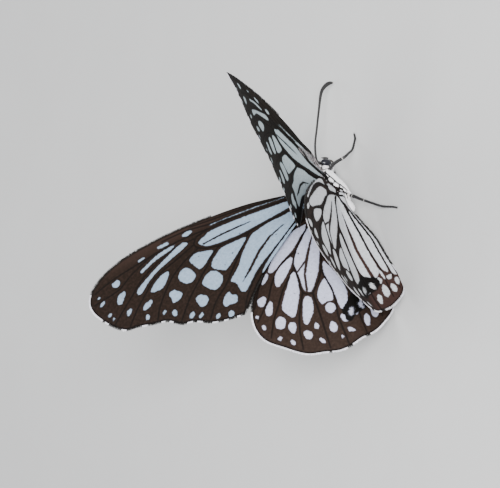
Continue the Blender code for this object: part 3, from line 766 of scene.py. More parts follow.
# The rear of the forewing laps over the hindwing, and the inner part of the hindwing folds
# down along a line.
FOREWING_LAP = 0.5
FOREWING_LAP_WIDTH = 5.0
FOLD_X = 1.1
FOLD_RADIUS = 2.0
FOLD_ANGLE = math.radians(32.0)
# Each wing's lift, sweep and twist in degrees, and how far seven powers of its plane bend it.
WING_POSES = {
    ("fore", 1): ((56.8, 92.9, -9.6), (-0.117, 0.26, 0.056, -0.018, 0.198, 0.0, 0.0)),
    ("fore", -1): ((50.2, 95.7, -22.1), (0.072, -0.083, -1.807, -0.147, -1.018, 0.9, 0.476)),
    ("hind", 1): ((55.2, 86.1, -2.5), (-0.131, -0.031, 0.19, -0.099, 0.229, 0.0, 0.0)),
    ("hind", -1): ((56.1, 85.5, -2.2), (-0.131, -0.031, 0.19, -0.099, 0.229, 0.0, 0.0)),
}
# The edge of each wing laid flat, in millimetres out along the span and towards the front.
OUTLINES = {
    "fore": [(-0.9, 0.7), (5.1, 1.9), (11.6, 3.2), (18.9, 3.8), (26.3, 4), (33.7, 3.5), (38.6, 1.9),
        (40.9, -0.3), (41, -3.1), (39.4, -6.4), (37.3, -8.9), (35.2, -9.6), (33, -10.5), (30.3, -11.5),
        (28.2, -13.3), (26.2, -14), (23.7, -15.7), (21.2, -16.6), (18.9, -17), (17.8, -16.6),
        (13.4, -12.1), (7.8, -7.6), (3.6, -4), (1.5, -2), (-0.9, -1.1)],
    "hind": [(-0.9, 1.3), (1.6, 1.5), (3.6, 1.2), (5.6, 0.2), (9.3, -3.3), (12.8, -7.4), (14.9, -11),
        (16.2, -14.6), (16.5, -18), (15.4, -21), (12.6, -23.4), (9.6, -25.4), (6.7, -26), (3.9, -26.4),
        (1.1, -25.6), (-2.2, -24), (-4.7, -21.8), (-6.2, -20), (-6.9, -18.1), (-6.9, -16.5), (-6.4, -15),
        (-5.5, -12.1), (-4.6, -8.8), (-3.1, -6.2), (-1.95, -4.3), (-1.3, -2.9), (-0.9, -1.6)],
}
VEINS = {
    "fore": [
        [(-0.4, 0.5), (5, 1.5), (11.4, 2.5), (17, 3), (21.5, 3.5)],
        [(-0.4, 0.1), (5.2, 0.8), (10, 1.2), (14, 1.5), (18.1, 1.5), (21, 1.1), (21.6, 0.4)],
        [(14, 1.5), (19, 2.5), (22.4, 3.1), (26.6, 3.2)],
        [(18.1, 1.5), (21.5, 1.8), (26, 1.8), (30.5, 1.4), (36, 0.9), (39.9, 0.1)],
        [(23.9, 1.9), (28.6, 1.5), (33, 0.1), (36, -1.5), (40.6, -1.9)],
        [(21.6, 0.9), (25, 0.8), (28.6, -0.3), (31.8, -2), (34.4, -4.2), (36.6, -5.9), (38.6, -7.4)],
        [(21.9, -0.2), (25.5, -1.5), (29.6, -3), (31.9, -4.9), (34.2, -6.9), (36.2, -9)],
        [(21.5, -1.3), (24.2, -2.6), (26.8, -4.4), (29, -6.6), (30.8, -8.9), (31.7, -10.6)],
        [(21.6, 0.4), (21.9, -0.2), (21.5, -1.3)],
        [(-0.4, -0.4), (5.5, -1.7), (9, -2.2), (12.6, -2.8), (15.5, -3), (18.3, -2.8), (20.6, -1.9),
            (21.7, -0.8)],
        [(17.6, -2.9), (18.9, -3.4), (20.8, -5.4), (23.6, -8), (25.9, -10.2), (28.2, -13)],
        [(12.6, -2.8), (13.3, -3.4), (15.9, -6.7), (17.6, -8.7), (19.3, -10.7), (21.9, -12.8),
            (23.7, -15.1)],
        [(-0.4, -0.8), (3.5, -3.4), (7.7, -6.8), (11, -9.2), (14.4, -11.8), (16.6, -14.2), (17.9, -16.3)],
    ],
    "hind": [
        [(-0.4, 1), (3.5, -0.4), (6.8, -1.9), (9, -3.5), (10.9, -5.5), (12.5, -8), (14.4, -11.3),
            (15.9, -15)],
        [(-0.4, 0.2), (1.8, -0.7), (4, -2.1), (5.8, -4.3), (7.2, -6.5), (8.1, -9), (8.1, -10.1)],
        [(7.2, -6.5), (9.6, -8), (12, -11), (13.3, -13.9), (14.6, -15.9), (15.9, -17.6)],
        [(8.1, -9.6), (9.2, -11.2), (10.8, -13.4), (12, -15.8), (13.2, -18), (14.4, -21)],
        [(8.1, -9.6), (7.9, -11.2), (7.9, -13.2), (7.7, -14.9), (6.9, -15.5), (6.2, -15.5)],
        [(7.8, -14.9), (8.4, -16.6), (9.2, -19), (9.7, -21.5), (9.9, -24.6)],
        [(6.2, -15.5), (6.1, -17.5), (5.9, -20.5), (5.7, -25.7)],
        [(-0.3, -0.3), (1.2, -0.7), (1.6, -1.5), (2.05, -2.6), (2.66, -4.75), (3.1, -7), (3.5, -9.5),
            (4, -11.4), (4.8, -13.5), (6.2, -15.5)],
        [(3.9, -11.3), (3.7, -13.2), (3.2, -15.6), (3, -18), (3.2, -21), (2.7, -25.9)],
        [(3.3, -8.7), (2.1, -11.3), (1.1, -14.5), (0.4, -17.5), (-0.6, -24.7)],
        [(-0.3, -0.4), (0.84, -0.59), (0.47, -0.97), (0.12, -1.62), (-0.36, -2.82), (-0.72, -4.44),
            (-1.17, -6.03), (-1.75, -8.3), (-2.5, -11.4), (-3.5, -15), (-4.1, -21.3)],
        [(-0.25, -2.1), (-0.93, -3.57), (-1.45, -4.39), (-2.53, -6.34), (-3.35, -7.97), (-3.95, -9.5),
            (-5, -14), (-6.1, -18.9)],
    ],
}
# The glassy windows and white spots of a wing, each an outline in one space between veins.
WINDOWS = {
    "fore": {
        "cell": [(1, 0), (5, 0.4), (10, 0.7), (14, 0.95), (18.5, 1), (19.6, 0.6), (20.8, 0.1),
            (21.1, -0.4), (20.6, -1.1), (19.8, -1.8), (18.2, -2.2), (15, -2.45), (12.9, -2.3), (9, -1.75),
            (6, -1.2), (3, -0.6)],
        "behind_cell": [(14.1, -3.5), (13.7, -3.8), (14.2, -4.6), (16.9, -7), (18.3, -8), (18.9, -8),
            (20.4, -6.7), (20.2, -5.5), (19.2, -4.5), (18.2, -3.7), (17, -3.5)],
        "fork": [(20.3, -2.7), (19.4, -3.3), (20.4, -4.4), (21.5, -5.3), (22.5, -5.6), (23, -4.6),
            (23.5, -3.2), (23.1, -2.5), (22, -2.1)],
        "disc_front": [(24.5, -4.1), (24, -4.6), (23.4, -6.2), (24.1, -7.1), (24.9, -7.2), (25.7, -6.6),
            (26.2, -5.4), (25.7, -4.5), (25.1, -4.1)],
        "disc_back": [(21, -7), (20.1, -7.5), (19.5, -9.1), (20.1, -10.2), (21.4, -10.7), (22.6, -9.3),
            (22.9, -8.4), (22, -7.4)],
        "rear": [(2, -1.4), (6.6, -2.4), (9, -2.6), (11.7, -3.3), (12.8, -3.9), (15.3, -6.8),
            (16.5, -8.6), (18.4, -10.4), (18.3, -10.9), (17.8, -11.5), (17.6, -13.1), (17.1, -13.6),
            (16.5, -13.4), (13.7, -10.7), (10.4, -8.5), (7.2, -6.2), (5, -4.4), (3, -2.6)],
        "hind_edge": [(4, -4.2), (8, -7.2), (11.5, -9.9), (13.3, -11.7), (12.7, -11.6), (9.5, -9),
            (6, -6.1)],
        "row_5": [(19.4, -12.2), (19.1, -13.1), (18.5, -13.4), (18.6, -14.3), (19, -14.7), (20, -14.5),
            (20.8, -14.5), (20.9, -13.6), (20.3, -12.7)],
        "row_4": [(23.8, -10.2), (23, -11), (22.9, -11.7), (23.5, -12.4), (24.4, -12.4), (24.7, -11.5),
            (24.8, -10.7), (24.4, -10.2)],
        "row_3": [(27.5, -7), (26.6, -8), (26.6, -8.6), (27.4, -9.2), (28.4, -9.1), (28.4, -8.3),
            (28.6, -7.5), (28.2, -7)],
        "row_2": [(31.6, -6.5), (31.4, -6.9), (32, -7.5), (32.9, -7.8), (33.3, -7.5), (32.9, -6.8)],
        "row_1": [(35.2, -6), (35, -6.4), (35.5, -7), (36, -7.1), (35.9, -6.3)],
        "tip_back": [(35.2, -2.3), (35.1, -2.8), (35.7, -3.8), (36.3, -4.5), (36.7, -4.4), (36.9, -3.8),
            (36.5, -2.8), (36, -2.4)],
        "tip_front": [(35.6, 0.5), (35.3, -0.1), (35.6, -0.6), (36.1, -0.8), (36.6, -0.5), (36.7, 0.2)],
        "costa_1": [(21.6, 2.9), (21.4, 2.5), (22.1, 2.1), (22.8, 2.1), (23.2, 2.5), (22.6, 2.9)],
        "costa_2": [(25.8, 2.7), (25.6, 2.3), (26.2, 2.1), (27.5, 2.2), (27.7, 2.5), (27, 2.7)],
        "costa_3": [(30.3, 2.1), (30.2, 1.8), (31.3, 1.6), (31.4, 1.9)],
        "streak_1": [(24.8, 1.5), (25.6, 1), (29, 0.3), (31.5, -0.7), (31.7, -0.4), (31, 0.1),
            (28.1, 1.2), (26.2, 1.5)],
        "streak_2": [(23.4, 1.2), (22.8, 0.7), (23.4, 0.2), (26.2, -0.8), (29, -1.9), (30.8, -3),
            (32.7, -4.6), (33.3, -4.3), (33, -3.5), (31.2, -2.3), (29, -1.1), (25.3, 0.6)],
        "streak_3": [(27.6, -2.9), (27.3, -3.3), (27.9, -4.4), (29, -5.5), (30, -5.6), (30.9, -5.5),
            (31, -4.9), (30.1, -4), (28.8, -3.2)],
        "rim_1": [(39.4, -0.7), (39.2, -1.1), (39.8, -1.1)],
        "rim_2": [(38.8, -2), (38.8, -2.5), (39.4, -2.9), (39.8, -2.7), (39.4, -2.2)],
        "rim_3": [(38.5, -4.9), (38.4, -5.3), (38.9, -5.6), (39.1, -5.2)],
        "rim_4": [(38.3, -5.9), (38.1, -6.3), (38.6, -6.5)],
        "rim_5": [(32.9, -8.6), (32.7, -9.1), (33, -9.6), (33.4, -9.5), (33.3, -8.8)],
        "rim_6": [(30.1, -9.5), (29.9, -9.9), (30.5, -10.3), (30.5, -9.8)],
        "rim_7": [(28.7, -10.4), (28.3, -10.7), (28.6, -11.6), (29.1, -11.3), (29.1, -10.6)],
        "rim_8": [(25.9, -12.4), (25.8, -13), (26.4, -13.4), (26.8, -13.2), (26.6, -12.6)],
        "rim_9": [(24.6, -13.3), (24.5, -13.8), (25.2, -14.2), (25.3, -13.7)],
        "rim_10": [(22.1, -15), (22.1, -15.6), (22.8, -15.7), (22.7, -15.1)],
        "rim_11": [(20.1, -15.6), (19.9, -15.9), (20, -16.5), (20.8, -16.5), (20.7, -15.7)],
    },
    "hind": {
        "oval": [(4.6, -1.8), (6.6, -2.3), (8.6, -3.8), (10.4, -5.7), (11.8, -7.6), (12.3, -9),
            (11.3, -9), (9.7, -7.6), (7.7, -6.1), (6, -4), (4.9, -2.9)],
        "oval_end": [(12.6, -8.9), (13.5, -10), (13.8, -10.9), (13.3, -10.8), (12.5, -9.7)],
        "front_space": [(8.2, -7.3), (8, -7.6), (8.2, -8.4), (9.1, -10), (10.6, -11.8), (11.3, -12.3),
            (11.7, -11.8), (11.3, -9.9), (9.8, -8.3)],
        "below_cell": [(8.3, -10.4), (8.1, -11.2), (8.3, -14.7), (9.6, -18.2), (10.3, -18.7),
            (11.4, -17.2), (11.4, -15.9), (10.2, -13.4), (8.8, -10.8)],
        "cell": [(0.5, -0.6), (2.8, -1.7), (4.5, -2.9), (5.8, -4.7), (6.9, -6.3), (7.9, -8.8),
            (7.8, -10.2), (7.6, -12.2), (7.4, -14.4), (6.6, -15.1), (6.1, -14.8), (5.2, -13.2),
            (4.4, -11.4), (3.7, -8.8), (3.05, -5.8), (2.4, -3), (1.8, -1.5)],
        "third_space": [(7.4, -15.7), (6.9, -15.9), (6.6, -16.6), (6.8, -18.6), (7.8, -20.3),
            (8.4, -20.8), (8.7, -20.5), (8.7, -19.4), (8.3, -17.6), (7.9, -16.2)],
        "fourth_space": [(3.8, -13.4), (3.4, -15.2), (3.2, -16.5), (3.4, -17.8), (4.3, -17.7), (5.2, -18),
            (5.6, -16.6), (5.3, -15.4), (4.5, -14)],
        "fourth_spot": [(3.3, -18.8), (3.3, -19.5), (3.9, -20), (4.6, -19.8), (4.9, -19), (4.7, -18.4),
            (4.2, -18.1), (3.6, -18.3)],
        "fifth_space": [(3.2, -10), (2.3, -11.9), (1.3, -14.6), (0.9, -17), (1.3, -18.9), (1.9, -19.8),
            (2.5, -19.6), (2.8, -17.4), (3, -15.4), (3.6, -12.8), (3.6, -10.9)],
        "sixth_space": [(1, -0.85), (1.3, -1.4), (2.2, -3.6), (2.9, -7), (2.95, -8.7), (1.8, -11.3),
            (0.8, -14.5), (0.2, -17.2), (-0.9, -18), (-1.6, -17.9), (-2.4, -17.4), (-3.1, -16.2),
            (-3.2, -15), (-2.3, -11.2), (-1.55, -8.2), (-0.98, -6.05), (-0.53, -4.5), (-0.17, -2.85),
            (0.3, -1.7), (0.65, -1.1)],
        "seventh_space": [(-0.62, -3.1), (-0.9, -4.5), (-1.35, -6.1), (-2, -8.2), (-2.75, -11.4),
            (-3.8, -15), (-4.6, -15.8), (-5, -15.5), (-4.8, -13.8), (-3.75, -9.3), (-3.15, -8),
            (-2.35, -6.4), (-1.3, -4.55), (-0.85, -3.6)],
        "inner_edge": [(0.3, -0.68), (-0.75, -0.68), (-0.85, -1.6), (-1.25, -2.9), (-1.9, -4.3),
            (-3.05, -6.25), (-4.55, -8.85), (-5.45, -12.2), (-6.3, -15.2), (-6.3, -16.2), (-5.6, -15.9),
            (-5.15, -14), (-4.1, -9.4), (-3.5, -7.9), (-2.7, -6.25), (-1.62, -4.4), (-1.1, -3.4),
            (-0.45, -2.2), (0, -1.6), (0.25, -1.15)],
        "spot_1": [(14, -13.2), (13.7, -13.6), (13.8, -14.2), (14.5, -15.1), (14.9, -15), (15.2, -14.2),
            (15, -13.4)],
        "spot_2": [(13.2, -14.5), (12.9, -14.8), (13, -15.9), (13.4, -17), (14, -17.1), (14.3, -16.5),
            (14.1, -15.6)],
        "spot_3": [(15.8, -16.2), (15.5, -16.6), (15.7, -17), (16.1, -16.5)],
        "spot_4": [(12.3, -17.8), (11.6, -18.4), (11.5, -19), (12, -20.1), (12.5, -20.1), (13.1, -19.7),
            (13.2, -18.9), (12.8, -18.1)],
        "spot_5": [(10.8, -19.5), (10.1, -19.9), (10.3, -21.2), (10.9, -21.5), (11.3, -20.5),
            (11.2, -19.8)],
        "spot_6": [(8.6, -21.7), (7.9, -22.4), (8.2, -23.3), (8.9, -23.1), (9.2, -22.4), (9.1, -21.8)],
        "spot_7": [(6.9, -20.8), (6.5, -21.5), (6.9, -22), (7.3, -21.8), (7.2, -21.1)],
        "spot_8": [(4.5, -21.4), (3.9, -21.9), (3.8, -22.9), (4.3, -23.4), (4.9, -23.1), (5, -22.3)],
        "spot_9": [(2.6, -20.7), (1.9, -21.3), (1.8, -22.1), (2.5, -22.1), (2.9, -21.2)],
        "spot_10": [(0.9, -20), (0.1, -20.3), (-0.1, -20.9), (0.4, -21.4), (1, -21.1), (1.2, -20.5)],
        "spot_11": [(-1.4, -21.1), (-1.8, -21.5), (-1.7, -22.3), (-1.3, -23.3), (-0.9, -23.3),
            (-0.7, -22.5), (-0.9, -21.6)],
        "spot_13": [(-2.6, -17.3), (-3.2, -17.6), (-3.1, -18.2), (-2.5, -18.9), (-2.1, -18.5),
            (-2.3, -17.7)],
        "spot_14": [(-3, -18.7), (-3.6, -19.2), (-3.8, -20.1), (-3.6, -20.9), (-2.9, -21.7),
            (-2.4, -21.4), (-2.3, -20.4), (-2.6, -19.3)],
        "spot_15": [(-5.4, -16.1), (-5.2, -16.9), (-4.8, -17.4), (-4.3, -17.4), (-4.2, -16.8),
            (-4.9, -16.3)],
        "spot_16": [(-6.4, -16.7), (-6.5, -17.4), (-6.1, -18.4), (-5.7, -18.2), (-5.5, -17.4),
            (-5.9, -16.7)],
        "spot_17": [(-4.6, -18.2), (-5.3, -18.4), (-5.5, -19.1), (-5.3, -19.8), (-4.8, -20.2),
            (-4.4, -19.9), (-4.3, -19)],
        "sliver": [(-3.4, -15.4), (-3.9, -16.7), (-3.8, -17.7), (-3.4, -17), (-3.1, -15.9)],
        "rim_1": [(15.1, -18.3), (14.8, -18.7), (14.9, -19.4), (15.3, -19.2), (15.4, -18.5)],
        "rim_2": [(13, -21.2), (12.7, -21.6), (13, -22.1), (13.5, -21.6)],
        "rim_3": [(11.3, -22.4), (10.8, -23.1), (11.1, -23.5), (11.6, -22.8)],
        "rim_4": [(6.8, -23.6), (6.3, -24.1), (6.3, -24.7), (6.7, -24.6), (7.1, -23.8)],
        "rim_5": [(3.4, -24.1), (3.2, -24.5), (3.5, -24.8), (3.6, -24.4)],
        "rim_6": [(2.2, -23.2), (1.4, -23.6), (1.2, -24.1), (2.2, -23.9)],
    },
}
# More pale marks of the under face.
WINDOWS_BELOW = {
    "fore": {
        "costa_line": [(9, 1.7), (13, 2.15), (18.2, 2.5), (18.2, 2.35), (13, 1.95)],
        "root": [(0.8, 0.35), (3, 0.68), (5.2, 0.95), (8, 1.2), (10, 1.36), (12, 1.55), (12.4, 1.75),
            (11, 1.95), (9, 1.7), (7, 1.38), (5, 1.18), (2, 0.7)],
    },
    "hind": {
        "shoulder": [(3.9, -0.15), (3, 0.5), (2.16, 0.75), (1.54, 0.75), (0.95, 0.49), (0.9, -0.05),
            (1.39, -0.45), (2.5, -0.85), (3.29, -0.93), (3.55, -0.61)],
        "tegula": [(3.62, 1.05), (3.1, 1.2), (3, 1.05), (3.32, 0.8), (3.6, 0.68)],
        "root_front": [(-0.05, 1), (-0.4, 0.88), (-0.75, 0.62), (-0.4, 0.38), (-0.12, 0.6)],
        "root_back": [(0.36, -0.08), (0.02, 0.25), (-0.47, 0.2), (-0.85, 0.25), (-0.88, -0.6),
            (-0.61, -0.36), (-0.15, -0.36), (0.23, -0.34)],
        "front_strip": [(4.95, -1.15), (4.9, -0.5), (5.3, -0.05), (6.2, -0.45), (7.8, -1.55), (9.2, -2.9),
            (11.2, -5.3), (12.7, -7.8), (12.4, -7.8), (10.7, -5.1), (8.8, -3), (6.4, -1.4)],
    },
}
# Dark lines inside the windows: places along each, with half its width there.
DARK_LINES = {
    "fore": [
        [(12, -0.6, 0.06), (14.2, -0.6, 0.18), (17.4, -0.65, 0.2), (20.4, -0.9, 0.16)],
        [(7.2, -4.5, 0.08), (10, -5.7, 0.2), (12.5, -7.6, 0.26), (15, -10.2, 0.24), (16.7, -11.7, 0.06)],
    ],
    "hind": [
        [(0.79, -4.4, 0.07), (0.68, -5.2, 0.12), (0.52, -6.4, 0.17), (0.36, -7.8, 0.25), (0, -9.85, 0.29),
            (-0.35, -11.9, 0.30), (-1.1, -14.8, 0.30), (-1.6, -17.6, 0.40)],
        [(3.6, -3.6, 0.08), (4.8, -6.2, 0.2), (5.8, -8.8, 0.28), (6.7, -11.6, 0.2), (7, -14.8, 0.2)],
        [(5.7, -8.7, 0.18), (7.8, -10.7, 0.18)],
    ],
}
# Thin light lines of the upper face, and dark specks where scales are worn off.
LIGHT_LINES = {"fore": [[(5.2, 1.4, 0.02), (10.0, 1.85, 0.07), (15.0, 2.1, 0.07), (18.3, 2.15, 0.03)]],
               "hind": []}
SPECKS = {
    "fore": [(9, -5.8, 0.13), (16.6, -5.6, 0.10), (18.4, -7.1, 0.09), (20, -7.2, 0.10),
        (19.4, -5.4, 0.07), (14.3, -2.2, 0.12), (17, -8.3, 0.06), (15.8, -9.4, 0.07), (8.3, -1.2, 0.07),
        (11.9, -0.1, 0.06), (21.9, -3.1, 0.06)],
    "hind": [(6.9, -7.1, 0.14), (9, -14.6, 0.07), (9.4, -7.8, 0.08), (4.6, -17, 0.06)],
}
# The male's black scent patch on the hindwing.
SCENT_PATCH = [(-1.9, -18.3, 0.7), (-0.4, -19.0, 1.4), (1.1, -20.3, 1.2), (1.6, -21.6, 0.6)]
SCENT_SPOTS = [
    [(-0.9, -18.8), (-1.3, -19.3), (-1.1, -20.1), (-0.6, -20), (-0.4, -19.3)],
    [(1, -20), (0.6, -20.1), (0.8, -21), (1.2, -21.4), (1.5, -20.9)],
]
# The marks on the under faces of the right wings lie apart from the pattern: each row is a
# place there and the place of the same mark in the pattern.
MARKS_MOVED = {
    "fore": [(19.7, -0.3, 21, -0.4), (12, -1.8, 14, -2.4), (15, 1.6, 15, 2), (15, 0.6, 15, 0.9),
        (15.2, -10.8, 17.3, -13.5), (15.4, -8.2, 18.3, -10.6), (11.2, -2.6, 12.2, -3.5),
        (12.9, -8, 15.6, -10.9), (9.5, -4.5, 11, -6.3), (12.4, -2.5, 13.9, -3.6), (17.2, -3.6, 20.3, -6),
        (15, -5.3, 18.6, -8), (19.3, -2.1, 21.6, -3.7), (21.5, -3.1, 24.9, -5.5),
        (23.2, -4.3, 27.7, -8.1), (25.8, -1.5, 29.2, -4.3), (25.8, 0.2, 27.8, -1.2),
        (28.6, 1.1, 29.5, 0.3), (17.4, -6, 21.1, -9.1), (19.9, -8, 23.9, -11.3),
        (17.3, -11.4, 19.7, -13.6), (18.2, -13.8, 20.4, -16), (22.9, 2.2, 22.2, 2.5),
        (26.7, 2.4, 26.7, 2.4), (30.3, 2.3, 30.8, 1.9), (33.8, 1.5, 36.1, -0.1), (32, 0.2, 36, -3.3),
        (36.4, 0, 39.2, -2.5), (38.4, 0, 39.5, -1), (3, 0, 3, 0), (5, -2, 5, -2.2), (2, -1.5, 2, -1.5),
        (8, 1.2, 8, 1.4), (5, -0.8, 5.2, -1)],
    "hind": [(10.6, -10.7, 10, -9.9), (8.8, -8.5, 8.1, -7.3), (12.3, -12.9, 11.5, -12.3),
        (8.9, -11.2, 8.3, -10.4), (11, -18.4, 10.3, -18.7), (8.2, -16.3, 7.3, -15.7),
        (8.3, -18.5, 7.8, -18.2), (9.2, -21.5, 8.5, -20.8), (5, -14, 3.8, -13.4), (5.6, -17, 4.4, -15.9),
        (5.8, -19.4, 4.4, -17.8), (6.1, -20.4, 4.1, -19), (3.3, -10.1, 3.4, -10.2),
        (3.1, -15.1, 2.5, -15), (2.7, -20, 2.1, -19.4), (7.3, -16.1, 6.8, -15.1),
        (8.6, -10.8, 7.8, -10.3), (3.3, -22.9, 2.3, -21.5), (6.2, -24.4, 4.4, -22.4),
        (9.3, -23.6, 8.6, -22.5), (15, -15.1, 14.4, -14), (13.7, -16.7, 13.6, -15.9),
        (16.2, -17.8, 15.8, -16.5), (15.1, -19.2, 15.1, -18.8), (12.2, -19.3, 12.4, -18.9),
        (11.2, -21.5, 10.7, -20.4), (0, -5, 0, -5), (-2, -10, -2, -10), (-4.5, -15, -4.5, -15),
        (-5, -19, -5, -19), (-3, -20, -3, -20), (-1.3, -22, -1.3, -22), (0, -10, 0, -10),
        (-1, -15, -1, -15), (1.5, -3, 1.5, -3), (-1, -1, -1, -1), (4, 1, 4, 1), (8, -2.5, 8, -2.5)],
}
MOVE_REACH = {"fore": 6.0, "hind": 4.5}
# How the right forewing's curl draws its places together: two powers, of x / 20 and of
# y / 10, and how far the term moves a place in x and y.
RIGHT_FOREWING_DRAWN = [
    (1, 0, 0.356, -1.785), (0, 1, -0.365, -2.494), (2, 0, -2.132, 3.278),
    (1, 1, 6.624, 1.673), (0, 2, 0.546, 3.068), (3, 0, 0.823, -1.087),
    (2, 1, -1.528, -2.072), (1, 2, 1.134, -2.085), (0, 3, -0.572, 1.371),
]
# The front edge of the right forewing also bulges near the root: middle, reach and height.
FRONT_BULGE = (6.2, 3.0, 0.6)
# There the grey band between the front veins is wider on its under face: middle, reach, width.
FRONT_BAND = (6.5, 4.0, 0.75)
SCALE_STEP = 0.16
# On the sheet the under face lies below the upper one.
WING_SHEET_CORNER = (-8, -62)
WING_SHEET_SIZE = 68
WING_SHEET_DROP = 31


def wing_axes(side, pose):
    """The wing's span, chord and upward directions for its lift, sweep and twist."""
    lift, sweep, twist = (math.radians(angle) for angle in pose)
    outward = Vector((0, side * math.cos(lift), math.sin(lift)))
    ahead = Vector((1, 0, 0))
    span = ahead * math.cos(sweep) + outward * math.sin(sweep)
    chord = ahead * math.sin(sweep) - outward * math.cos(sweep)
    upper = span.cross(chord) * -side
    turned = chord * math.cos(twist) + upper * math.sin(twist)
    return np.array(span), np.array(turned), np.array(upper * math.cos(twist) - chord * math.sin(twist))


def drawn_in(wing, side, x, y):
    """Places of the wing's plane, drawn together on the right forewing."""
    if wing == "fore" and side < 0:
        terms = [((x / 20) ** a * (y / 10) ** b, dx, dy) for a, b, dx, dy in RIGHT_FOREWING_DRAWN]
        x, y = x + sum(t * dx for t, dx, _ in terms), y + sum(t * dy for t, _, dy in terms)
        middle, reach, height = FRONT_BULGE
        y = y + height * np.exp(-((x - middle) / reach) ** 2) * np.clip((y - 0.3) / 0.9, 0, 1)
    return x, y


def on_wing(wing, side, x, y):
    """Where the middle of the membrane lies for places in the wing's own plane."""
    x, y = drawn_in(wing, side, x, y)
    pose, bend = WING_POSES[wing, side]
    span, chord, upper = wing_axes(side, pose)
    if wing == "fore":
        share = np.clip(-y / FOREWING_LAP_WIDTH, 0, 1)
        lift = FOREWING_LAP * share * share * (3 - 2 * share)
    else:
        inward = np.maximum(FOLD_X - x, 0)
        turn = np.minimum(inward / FOLD_RADIUS, FOLD_ANGLE)
        flat = inward - turn * FOLD_RADIUS
        x = np.where(inward > 0, FOLD_X - FOLD_RADIUS * np.sin(turn) - flat * np.cos(turn), x)
        lift = -FOLD_RADIUS * (1 - np.cos(turn)) - flat * np.sin(turn)
    terms = (x * x / 50, x * y / 50, y * y / 50, x ** 3 / 2500, y ** 3 / 1000,
             x * x * y / 2500, x * y * y / 1000)
    rise = lift + sum(share * term for share, term in zip(bend, terms))
    hinge = np.array((HINGES[wing][0], side * HINGE_HALF_GAP, HINGES[wing][1]))
    return hinge + np.outer(x, span) + np.outer(y, chord) + np.outer(rise, upper)


def wing_normal(wing, side, x, y):
    """The upward direction of the membrane at each place."""
    step = 0.02
    along = on_wing(wing, side, x + step, y) - on_wing(wing, side, x - step, y)
    across = on_wing(wing, side, x, y + step) - on_wing(wing, side, x, y - step)
    return unit(np.cross(along, across) * -side)


def chain_depth(places, chain):
    """How deep each place lies inside a chain of round marks; below zero outside it."""
    if len(chain) == 1:
        chain = chain * 2
    deep = np.full(len(places), -99.0)
    for (ax, ay, ar), (bx, by, br) in zip(chain, chain[1:]):
        way = np.array((bx - ax, by - ay))
        share = np.clip((places - (ax, ay)) @ way / max(way @ way, 1e-9), 0, 1)
        far = np.linalg.norm(places - (ax, ay) - share[:, None] * way, axis=1)
        deep = np.maximum(deep, ar + (br - ar) * share - far)
    return deep


def pattern_place(wing, places):
    """Where the marks on the under face of a right wing lie in the pattern."""
    rows = np.array(MARKS_MOVED[wing])

    def pull(first, second):
        far = ((first[:, None] - second[None]) ** 2).sum(2)
        return np.exp(-far / (2 * MOVE_REACH[wing] ** 2))

    share = np.linalg.solve(pull(rows[:, :2], rows[:, :2]) + 0.05 * np.eye(len(rows)),
                            rows[:, 2:] - rows[:, :2])
    found = places + pull(places, rows[:, :2]) @ share
    if wing == "fore":
        x, y = found.T
        middle, reach, wide = FRONT_BAND
        near = wide * np.exp(-((x - middle) / reach) ** 2)
        found[:, 1] = y + near * np.clip((y + 1.3) / 1.2, 0, 1) * np.clip((1.3 - y) / 0.9, 0, 1)
    return found


def wing_plan(wing):
    """The wing laid flat: its places, its triangles, its rim and how far in each place is."""
    closed = smooth_loop(OUTLINES[wing], SCALE_STEP)
    outline = closed[:-1]
    low, high = outline.min(0), outline.max(0)
    columns = np.arange(low[0], high[0], SCALE_STEP)
    rows = np.arange(low[1], high[1], SCALE_STEP * 0.866)
    grid = np.array([(x + (i % 2) * SCALE_STEP / 2, y) for i, y in enumerate(rows) for x in columns])
    grid = grid[inside(grid, outline)]
    edge, _ = line_distance(grid, closed)
    grid = grid[edge > SCALE_STEP * 0.55]
    every = np.vstack([outline, grid])
    rim = [(i, (i + 1) % len(outline)) for i in range(len(outline))]
    flat, _, faces, _, _, _ = delaunay_2d_cdt(
        [Vector(place) for place in every], rim, [], 1, 1e-6)
    flat = np.array([tuple(place) for place in flat])
    edge, _ = line_distance(flat, closed)
    edge[:len(outline)] = 0
    return flat, np.array(faces), len(outline), edge


